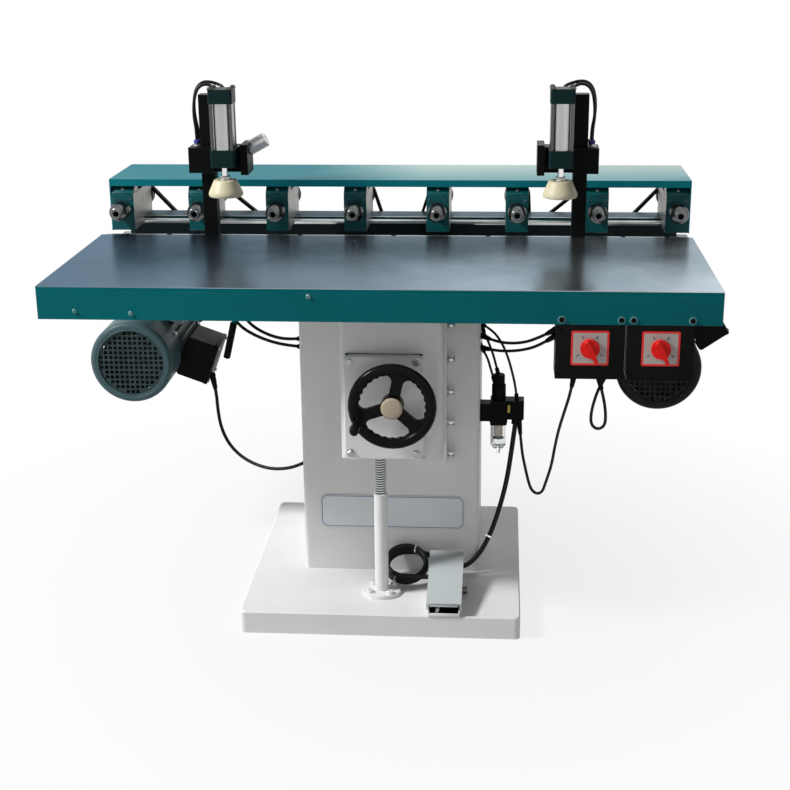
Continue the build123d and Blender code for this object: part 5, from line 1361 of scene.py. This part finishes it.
class MACHINE_OT_knee_trim(bpy.types.Operator):
    """Screws of the gear cover, a black strip round its top as a painted shadow line, lugs under it, and lock nuts of
    the gib screws
    """

    bl_idname = "machine.knee_trim"
    bl_label = "Knee trim"

    def execute(self, context):
        low, high = box_of("gear_cover")
        # Black strip round the top of the gear cover: a painted shadow line where it meets the knee.
        shadow_strip_low = (low.x + 0.004, low.y + 0.018, high.z - 0.003)
        shadow_strip = rounded_block(shadow_strip_low, high + Vector((-0.004, -0.0002, 0.0012)), 0.0006)
        new_piece("cover_shadow_strip", [shadow_strip], ["black_moulding_and_shade"], "knee_table")
        screws = [
            hex_head((x, low.y, z), FRONT, *COVER_SCREW)
            for x in (low.x + 0.014, high.x - 0.017) for z in (high.z - 0.012, low.z + 0.014)
        ]
        new_piece("cover_screws", screws, ["turned_steel"], "knee_table")
        knee_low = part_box("knee_slide")[0][2] + KNEE_BOX_RISE
        lugs = []
        for x in LUGS_X:
            lug_low = (x - LUG_HALF, high.y - 0.009, knee_low + 0.0002)
            lugs.append(rounded_block(lug_low, (x + LUG_HALF, high.y + 0.002, low.z - 0.0012), 0.0008))
        new_piece("cover_lugs", lugs, ["white_enamel"], "knee_table")
        strip_low, strip_high = box_of("gib_strip")
        nuts = []
        for rise in GIB_SCREW_HEIGHTS:
            spot = Vector((strip_high.x - GIB_SCREW_LENGTH, GIB_SCREW_Y, strip_low.z + rise))
            nuts.append(hex_head(spot, RIGHT, *GIB_NUT))
            nuts.append(hex_head(spot + RIGHT * GIB_NUT_GAP, RIGHT, *GIB_END_NUT, washer=False))
        new_piece("gib_nuts", nuts, ["zinc"], "knee_table")
        return {"FINISHED"}


class MACHINE_OT_handwheel_trim(bpy.types.Operator):
    """Cap on the handwheel's hub, finger swells inside its rim and the screw in its grip"""

    bl_idname = "machine.handwheel_trim"
    bl_label = "Handwheel trim"

    def execute(self, context):
        hub = Vector((WHEEL_X, WHEEL_HUB_Y, WHEEL_Z))
        new_piece("hub_cap", [turned_shape(HUB_CAP, hub, FRONT, 48)], ["beige_cap"], "handwheel")
        rim = Vector((WHEEL_X, WHEEL_PLANE, WHEEL_Z))
        turns = [FULL_TURN * step / FINGER_SIDES for step in range(FINGER_SIDES + 1)]
        outline = [(FINGER_REACH + FINGER_THICK * math.cos(turn), FINGER_THICK * math.sin(turn)) for turn in turns]
        swells = turned_shape(outline, rim, FRONT, FINGER_STEPS * FINGER_COUNT)
        for vert in swells.verts:
            spoke = Vector((vert.co.x - rim.x, 0, vert.co.z - rim.z))
            spine = rim + spoke.normalized() * FINGER_REACH
            wave = math.cos(FINGER_COUNT * math.atan2(spoke.z, spoke.x))
            vert.co = spine + (vert.co - spine) * (1 + FINGER_SWELL * wave)
        new_piece("finger_swells", [swells], ["wheel_moulding"], "handwheel")
        low, high = box_of("handwheel_grip")
        middle = (low + high) / 2
        tip = (middle.x, low.y + GRIP_SCREW_SINK, middle.z)
        new_piece("grip_screw", [socket_head(tip, FRONT, *GRIP_SCREW)], ["zinc"], "wheel_grip")
        return {"FINISHED"}


class MACHINE_OT_clamps(bpy.types.Operator):
    """Rods and pads of the clamps, their nuts, the lock handle's sleeve and the hose collars"""

    bl_idname = "machine.clamps"
    bl_label = "Clamps"

    def execute(self, context):
        for hand in HANDS:
            low, high = box_of(f"clamp_plunger_{hand}")
            base = Vector((*((low + high) / 2).xy, low.z))
            tall = high.z - low.z
            pad = turned_shape(PAD, base, UP, 56)
            rod = [(ROD_RADIUS, 0.040), (ROD_RADIUS, tall - 0.001), (ROD_RADIUS - 0.001, tall), (0, tall)]
            nut = hex_head(base + UP * PAD_NUT_RISE, UP, *PAD_NUT)
            shapes = [pad, dyed(turned_shape(rod, base), 1), dyed(nut, 2)]
            finishes = ["pad_polymer", "chrome", "zinc"]
            plunger = f"clamp_plunger_{hand}"
            new_piece(f"clamp_pad_{hand}", shapes, finishes, f"clamp_{hand}", [plunger])
        nuts = [
            hex_head((side * CLAMP_X + across * TIE_OFFSET, CLAMP_Y + along * TIE_OFFSET, CAP_TOP), UP, *TIE_NUT)
            for side in SIDES for across in SIDES for along in SIDES
        ]
        new_piece("tie_rod_nuts", nuts, ["dark_bolt"], "knee_table")
        run = ray_at(HANDLE_LEAN)
        tip = HANDLE_ROOT + run * HANDLE_REACH
        sleeve = ribbed_sleeve(HANDLE_ROOT + run * HANDLE_START, tip, *HANDLE_RIBS)
        end = turned_shape(HANDLE_END, tip, run, 40)
        new_piece("lock_handle_sleeve", [sleeve, end], ["knurled_steel"], "knee_table")
        collars = []
        for side in SIDES:
            for x, y in HOSE_SEATS:
                seat = Vector((side * x, y, BRACKET_TOP))
                collars.append(dyed(hex_head(seat, UP, *HOSE_NUT), 1))
                collars.append(turned_shape(HOSE_COLLAR, seat, UP, 24))
        new_piece("hose_collars", collars, ["fitting_blue", "zinc"], "knee_table")
        return {"FINISHED"}


class MACHINE_OT_switches(bpy.types.Operator):
    """Lids, screws and dial marks of the switch boxes"""

    bl_idname = "machine.switches"
    bl_label = "Switch boxes"

    def execute(self, context):
        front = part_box("table_frame")[0][1]
        lids, screws, ticks = [], [], []
        for left, right, middle in SWITCH_BOXES:
            low = Vector((left + 0.0015, front - SWITCH_LID_FRONT, SWITCH_BOTTOM + 0.0015))
            high = Vector((right - 0.0015, front + 0.0005, SWITCH_TOP - 0.0025))
            lids.append(rounded_block(low, high, 0.0012, 3))
            for x in (low.x + SWITCH_SCREW_INSET, high.x - SWITCH_SCREW_INSET):
                for z in (low.z + SWITCH_SCREW_INSET, high.z - SWITCH_SCREW_INSET):
                    screws.append(socket_head((x, low.y, z), FRONT, *SWITCH_SCREW))
            for angle, reach in SWITCH_TICKS:
                ray = ray_at(math.radians(angle))
                tick = rounded_block(*SWITCH_TICK, 0.0002, 1)
                spot = Vector((middle, front - SWITCH_TICK_FRONT, SWITCH_PLATE_Z)) + ray * reach
                ticks.append(placed(tick, ray.cross(FRONT), ray, FRONT, spot))
        new_piece("switch_lids", lids, ["black_moulding_and_shade"], "knee_table")
        new_piece("switch_screws", screws, ["black_moulding_and_shade"], "knee_table")
        new_piece("switch_ticks", ticks, ["black_moulding_and_shade"], "knee_table")
        return {"FINISHED"}


class MACHINE_OT_table_trim(bpy.types.Operator):
    """Screws of the apron and the rail, and the grip of the lever under the table"""

    bl_idname = "machine.table_trim"
    bl_label = "Table trim"

    def execute(self, context):
        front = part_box("table_frame")[0][1]
        radius = context.scene.machine_sizes.apron_screw_radius
        screws = []
        for x, z in APRON_SCREWS:
            size = radius if x < 0 else radius * RIGHT_SCREW_RATIO
            rim = [(0.0, 0.0011), (size * 0.9, 0.0011), (size, 0.0006), (size, 0)]
            # Washers in a lighter teal than the apron: a painted highlight round each screw.
            washer = turned_shape(rim, (x, front, z), FRONT, 24)
            head = socket_head((x, front - 0.001, z), FRONT, size * 0.7, 0.0028)
            screws += [washer, dyed(head, 0 if x < 0 else 1)]
        new_piece("apron_screws", screws, ["washer_teal_highlight", "black_moulding_and_shade"], "knee_table")
        low, high = box_of("post_rail")
        middle = (low + high) / 2
        bolts = [socket_head((x, middle.y, high.z), UP, *RAIL_BOLT) for x in RAIL_BOLTS_X]
        new_piece("rail_bolts", bolts, ["black_moulding_and_shade"], "knee_table")
        run = (LEVER_TIP - LEVER_TOP).normalized()
        tip = LEVER_TIP + run * 0.001
        grip = ribbed_sleeve(LEVER_TIP - run * LEVER_GRIP_LENGTH, tip, *LEVER_RIBS)
        cap = turned_shape(LEVER_CAP, tip, run, 28)
        new_piece("lever_grip", [grip, cap], ["black_moulding_and_shade"], "knee_table")
        return {"FINISHED"}


class MACHINE_OT_heads_trim(bpy.types.Operator):
    """Shoulders and screws of the boring heads, and the rounded sleeves of their chucks, with black bore linings as
    painted shade
    """

    bl_idname = "machine.heads_trim"
    bl_label = "Boring heads"

    def execute(self, context):
        low, high = box_of("boring_heads")
        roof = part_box("cover")[1][2] - COVER_LIP - ROOF_GAP
        slope = (FRONT + UP).normalized()
        shoulders, screws = [], []
        for number, x in enumerate(HEADS_X, start=1):
            shoulders.append(self.shoulder(x, low.y, high.z, roof))
            middle = Vector((x, low.y + SHOULDER_BEVEL / 2 + SHOULDER_INSET, roof - SHOULDER_BEVEL / 2))
            screws.append(socket_head(middle, slope, *SHOULDER_SCREW))
            for side in SIDES:
                spot = (x + side * HEAD_SCREW_ASIDE, low.y, high.z - HEAD_SCREW_DROP)
                screws.append(dyed(socket_head(spot, FRONT, *HEAD_SCREW), 1))
            place = (x, low.y - CHUCK_SLEEVE_BACK, SPINDLE_Z)
            sleeve = turned_shape(CHUCK_SLEEVE, place, FRONT, 48)
            # Black lining in the chuck's bore: painted shade in the hole.
            bore_shade = dyed(turned_shape(CHUCK_BORE_SHADE, place, FRONT, 32), 1)
            finishes = ["sleeve_steel", "rotor_black_and_bore_shade"]
            new_piece(f"chuck_sleeve_{number}", [sleeve, bore_shade], finishes, f"spindle_{number}")
        new_piece("head_shoulders", shoulders, ["head_casting"], "carriage")
        new_piece("head_screws", screws, ["zinc", "head_casting"], "carriage")
        return {"FINISHED"}

    def shoulder(self, x, front, seat, roof):
        """Sloped shoulder of a head's casting, between its top and the cover."""
        corner = Vector((x - HEAD_WIDTH / 2, front + SHOULDER_INSET, seat - 0.002))
        shape = block(corner, (x + HEAD_WIDTH / 2, corner.y + SHOULDER_DEPTH, roof))
        brow = [edge for edge in shape.edges if all(
            vertex.co.y < front + 0.01 and vertex.co.z > seat + 0.005 for vertex in edge.verts
        )]
        bevel_edges(shape, brow, SHOULDER_BEVEL)
        rest = [edge for edge in shape.edges if edge.calc_face_angle(0) > 0.3]
        bevel_edges(shape, rest, 0.0008, 2)
        return shape


class MACHINE_OT_motor_trim(bpy.types.Operator):
    """Fan cowls with their grilles and screws, lids of the terminal boxes and bolts of the hangers"""

    bl_idname = "machine.motor_trim"
    bl_label = "Motor trim"

    def execute(self, context):
        cowl_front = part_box("fan_cowls")[0][1]
        shells, screws, lids, bolts = [], [], [], []
        for side, tilt, lift in MOTORS:
            hub = Vector((side * MOTOR_X, cowl_front, MOTOR_Z))
            shells += [turned_shape(COWL_SHELL, hub, FRONT, 96), self.grille(hub)]
            for quarter in range(4):
                ray = ray_at(math.radians(COWL_SCREW_START + 90 * quarter))
                spot = hub + ray * COWL_SCREW_RING - FRONT * COWL_SCREW_BACK
                screws.append(hex_head(spot, ray, *COWL_SCREW))
                if quarter != 1:
                    spot = Vector((hub.x, HANGER_REAR, hub.z)) + ray * HANGER_RING
                    bolts.append(hex_head(spot, -FRONT, *HANGER_BOLT))
            outward = ray_at(math.radians(tilt))
            across = Vector((-outward.z, 0, outward.x))
            lid = rounded_block(*TERMINAL_LID, 0.004, 3)
            seat = Vector((side * MOTOR_X, TERMINAL_Y, MOTOR_Z)) + outward * TERMINAL_REACH + across * lift
            lids.append(placed(lid, across, outward.cross(across), outward, seat))
            for u in SIDES:
                for v in SIDES:
                    spot = seat + across * (u * TERMINAL_SCREWS[0]) - FRONT * (v * TERMINAL_SCREWS[1])
                    spot += outward * TERMINAL_LID[1][2]
                    screws.append(socket_head(spot, outward, *TERMINAL_SCREW))
        new_piece("cowl_shells", shells, ["cowl_enamel"], "carriage", ["fan_cowls"])
        new_piece("motor_screws", screws, ["zinc"], "carriage")
        new_piece("terminal_lids", lids, ["black_moulding_and_shade"], "carriage")
        new_piece("hanger_bolts", bolts, ["zinc"], "carriage")
        return {"FINISHED"}

    def grille(self, hub):
        """Plate of square holes behind the cowl's rim."""
        shape = bmesh.new()
        bmesh.ops.create_grid(
            shape, x_segments=GRILLE_CELLS, y_segments=GRILLE_CELLS, size=GRILLE_CELLS * GRILLE_PITCH / 2
        )
        outside = [face for face in shape.faces if face.calc_center_median().length > GRILLE_REACH]
        bmesh.ops.delete(shape, geom=outside, context="FACES")
        bar = GRILLE_PITCH / 2 - GRILLE_HOLE / 2
        corner = GRILLE_HOLE / 2 * math.sqrt(2)
        holes = [face for face in shape.faces if face.calc_center_median().length + corner < GRILLE_EDGE]
        bmesh.ops.inset_individual(shape, faces=holes, thickness=bar)
        bmesh.ops.delete(shape, geom=holes, context="FACES")
        bmesh.ops.recalc_face_normals(shape, faces=shape.faces)
        bmesh.ops.solidify(shape, geom=shape.faces[:], thickness=GRILLE_THICK)
        bmesh.ops.recalc_face_normals(shape, faces=shape.faces)
        return placed(shape, RIGHT, UP, FRONT, hub - FRONT * GRILLE_SINK)


class MACHINE_OT_air_unit_trim(bpy.types.Operator):
    """Filter element in the bowl, guard ring over it, ribs of the regulator's knob and a tag"""

    bl_idname = "machine.air_unit_trim"
    bl_label = "Air unit trim"

    def execute(self, context):
        low, high = box_of("filter_bowl")
        middle = Vector((*((low + high) / 2).xy, 0))
        element = turned_shape(FILTER_ELEMENT, middle, UP, 28)
        baffle = dyed(turned_shape(FILTER_BAFFLE, middle, UP, 28), 1)
        new_piece("filter_element", [element, baffle], ["beige_cap", "black_moulding_and_shade"], "frame")
        foot, head = (middle + UP * height for height in REGULATOR_RIBS)
        knob = ribbed_sleeve(foot, head, *KNOB_RIBS)
        guard = turned_shape(BOWL_GUARD, middle, UP, 32)
        new_piece("regulator_ribs", [knob, guard], ["black_moulding_and_shade"], "frame")
        new_piece("valve_tag", [rounded_block(*VALVE_TAG, 0.0005)], ["tag_yellow"], "frame")
        return {"FINISHED"}


class MACHINE_OT_pedal_trim(bpy.types.Operator):
    """Lips, inner tab, a black sheet and floor inside as painted shade, and side plug of the foot valve"""

    bl_idname = "machine.pedal_trim"
    bl_label = "Foot valve trim"

    def execute(self, context):
        low, high = box_of("pedal_plate")
        front, back = low.y - 0.0003, low.y + 0.0024
        base_low, base_high = box_of("pedal_base")
        left, mouth, foot = base_low
        right = base_high.x
        lip = [
            rounded_block((low.x, front, 0.0850), (high.x, back, 0.0888), PEDAL_EDGE),
            rounded_block(
                (left + PEDAL_LIP_INSET, front, 0.0800), (right - PEDAL_LIP_INSET, back, 0.0880), PEDAL_EDGE
            ),
        ]
        new_piece("pedal_lip", lip, ["pedal_enamel"], "pedal")
        strip_low, strip_high = (left, mouth - 0.0003, foot + 0.0002), (right, mouth + 0.0025, foot + 0.0082)
        strip = rounded_block(strip_low, strip_high, PEDAL_EDGE)
        tab = rounded_block(*PEDAL_TAB, PEDAL_EDGE)
        bmesh.ops.rotate(tab, cent=(0, 0, 0), matrix=Matrix.Rotation(PEDAL_TAB_LEAN, 3, "Y"), verts=tab.verts)
        bmesh.ops.translate(tab, vec=(PEDAL_TAB_X, mouth + 0.024, foot + 0.004), verts=tab.verts)
        new_piece("pedal_strip", [strip, tab], ["white_enamel"], "frame")
        left, right = left + PEDAL_WALL, right - PEDAL_WALL
        # Black sheet and floor inside the valve's mouth: painted shade.
        shade_sheet = rounded_block((left, mouth + 0.030, foot + 0.0032), (right, mouth + 0.033, 0.0715), 0.0006)
        floor = rounded_block((left, mouth + 0.003, foot + 0.0031), (right, mouth + 0.032, foot + 0.0037), 0.0002)
        new_piece("pedal_inside_shade", [shade_sheet, floor], ["black_moulding_and_shade"], "frame")
        plug = hex_head((base_high.x, mouth + PEDAL_PLUG_Y, PEDAL_PLUG_Z), RIGHT, *PEDAL_PLUG)
        new_piece("pedal_plug", [plug], ["dark_bolt"], "frame")
        return {"FINISHED"}


class MACHINE_OT_ties(bpy.types.Operator):
    """Bright ties round the turns of the coiled hose and on its long run"""

    bl_idname = "machine.ties"
    bl_label = "Hose ties"

    def execute(self, context):
        shapes = []
        for turns in COIL_TIE_TURNS:
            angle = FULL_TURN * turns
            radial = COIL_ACROSS * math.cos(angle) - RIGHT * math.sin(angle)
            middle = COIL_CENTER + radial * COIL_RADIUS + COIL_NORMAL * (COIL_PITCH * (turns + 0.5))
            band = turned_shape(COIL_TIE, (0, 0, 0), UP, 36)
            bmesh.ops.scale(band, vec=(1, COIL_TIE_STRETCH, 1), verts=band.verts)
            shapes.append(placed(band, radial, COIL_NORMAL, radial.cross(COIL_NORMAL), middle))
        line = [Vector(vertex.co) for vertex in curve_mesh(cord_curve("tie_line", PEDAL_HOSE)).vertices]
        nearest = min(range(1, len(line) - 1), key=lambda spot: (line[spot] - Vector(HOSE_TIE_PLACE)).length)
        along = (line[nearest + 1] - line[nearest - 1]).normalized()
        shapes.append(turned_shape(HOSE_TIE, line[nearest], along, 32))
        across = along.cross(FRONT).normalized()
        lock = rounded_block(*TIE_LOCK, 0.0006)
        tail = rounded_block(*TIE_TAIL, 0.0003, 1)
        shapes += [placed(part, along.cross(across), along, across, line[nearest]) for part in (lock, tail)]
        new_piece("hose_ties", shapes, ["chrome"], "frame")
        return {"FINISHED"}


def seen_directly(tree):
    """1 for rays from the camera, off a gloss or through glass, and 0 for those that only carry light."""
    seen = add_node(tree, "ShaderNodeLightPath").outputs
    direct = arithmetic(tree, "MAXIMUM", seen["Is Camera Ray"], seen["Is Glossy Ray"])
    return arithmetic(tree, "MAXIMUM", direct, seen["Is Transmission Ray"])


class MACHINE_OT_stage(bpy.types.Operator):
    """Floor, light and camera"""

    bl_idname = "machine.stage"
    bl_label = "Floor, light and camera"

    def execute(self, context):
        scene = context.scene
        scene.view_settings.view_transform = "Standard"
        self.set_floor()
        self.set_world(scene)
        for name, place, aim, size, power in LAMPS:
            lamp = bpy.data.lights.new(name, "AREA")
            lamp.size = size
            lamp.energy = power
            holder = link_object(name, lamp)
            holder.location = place
            holder.rotation_euler = (Vector(aim) - Vector(place)).to_track_quat("-Z", "Y").to_euler()
        self.set_camera(scene)
        return {"FINISHED"}

    def set_floor(self):
        """Pale floor that fades to white away from the machine."""
        shape = bmesh.new()
        bmesh.ops.create_grid(shape, x_segments=1, y_segments=1, size=FLOOR_SIZE)
        bmesh.ops.translate(shape, vec=(0, 0, -FLOOR_DROP), verts=shape.verts)
        mesh = bpy.data.meshes.new("floor")
        shape.to_mesh(mesh)
        shape.free()
        made, tree, _ = new_finish("pale_floor", base_color=(0.62, 0.62, 0.62, 1), roughness=0.9)
        bsdf = tree.nodes["Principled BSDF"]
        away = add_node(tree, "ShaderNodeVectorMath", {0: object_place(tree)}, operation="LENGTH").outputs["Value"]
        glow = add_node(tree, "ShaderNodeEmission", {"Color": (1, 1, 1, 1), "Strength": 1})
        factor = arithmetic(tree, "MULTIPLY", spread(tree, away, 0.35, 1.5, 0.80, 1), seen_directly(tree))
        mixed = add_node(tree, "ShaderNodeMixShader", {0: factor, 1: bsdf.outputs[0], 2: glow.outputs[0]})
        tree.links.new(mixed.outputs[0], tree.nodes["Material Output"].inputs["Surface"])
        mesh.materials.append(made)
        link_object("floor", mesh)

    def set_world(self, scene):
        """White to look at, and a plain soft level as light."""
        world = bpy.data.worlds.new("soft_world")
        world.use_nodes = True
        scene.world = world
        tree = world.node_tree
        soft = tree.nodes["Background"]
        soft.inputs["Color"].default_value = WORLD_TINT
        soft.inputs["Strength"].default_value = WORLD_LEVEL
        white = add_node(tree, "ShaderNodeBackground", {"Color": (1, 1, 1, 1), "Strength": 1})
        sides = {0: seen_directly(tree), 1: soft.outputs[0], 2: white.outputs[0]}
        mixed = add_node(tree, "ShaderNodeMixShader", sides)
        tree.links.new(mixed.outputs[0], tree.nodes["World Output"].inputs["Surface"])

    def set_camera(self, scene):
        """Camera where the photograph was taken."""
        lens = bpy.data.cameras.new("camera")
        lens.sensor_width = CAMERA_SENSOR
        lens.lens = CAMERA_LENS
        lens.clip_end = 50
        camera = link_object("camera", lens)
        level = CAMERA_AHEAD.cross(UP).normalized()
        right = level * math.cos(CAMERA_ROLL) + level.cross(CAMERA_AHEAD) * math.sin(CAMERA_ROLL)
        upward = right.cross(CAMERA_AHEAD)
        turn = Matrix((right, upward, -CAMERA_AHEAD)).transposed().to_4x4()
        camera.matrix_world = Matrix.Translation(CAMERA_PLACE) @ turn
        scene.camera = camera


OPERATORS = (
    MACHINE_OT_stage, MACHINE_OT_cords, MACHINE_OT_strain_reliefs, MACHINE_OT_finishes, MACHINE_OT_lifting_screw,
    MACHINE_OT_column_plate, MACHINE_OT_knee_trim, MACHINE_OT_handwheel_trim, MACHINE_OT_clamps, MACHINE_OT_switches,
    MACHINE_OT_table_trim, MACHINE_OT_heads_trim, MACHINE_OT_motor_trim, MACHINE_OT_air_unit_trim,
    MACHINE_OT_pedal_trim, MACHINE_OT_ties,
)


class MACHINE_PT_panel(bpy.types.Panel):
    """Lists the machine's piece groups"""

    bl_idname = "MACHINE_PT_panel"
    bl_label = "Boring machine"
    bl_space_type = "VIEW_3D"
    bl_region_type = "UI"
    bl_category = "Machine"

    def draw(self, context):
        for operator in OPERATORS:
            self.layout.operator(operator.bl_idname)
        for settings in (context.scene.machine_colours, context.scene.machine_sizes):
            for key in type(settings).__annotations__:
                self.layout.prop(settings, key)


CLASSES = (MachineColours, MachineSizes, *OPERATORS, MACHINE_PT_panel)


def register():
    for each in CLASSES:
        bpy.utils.register_class(each)
    bpy.types.Scene.machine_colours = bpy.props.PointerProperty(type=MachineColours)
    bpy.types.Scene.machine_sizes = bpy.props.PointerProperty(type=MachineSizes)


def unregister():
    del bpy.types.Scene.machine_sizes
    del bpy.types.Scene.machine_colours
    for each in reversed(CLASSES):
        bpy.utils.unregister_class(each)


def main():
    register()
    for operator in OPERATORS:
        getattr(bpy.ops.machine, operator.bl_idname.split(".")[1])()
    bpy.context.view_layer.update()


if __name__ == "__main__":
    main()
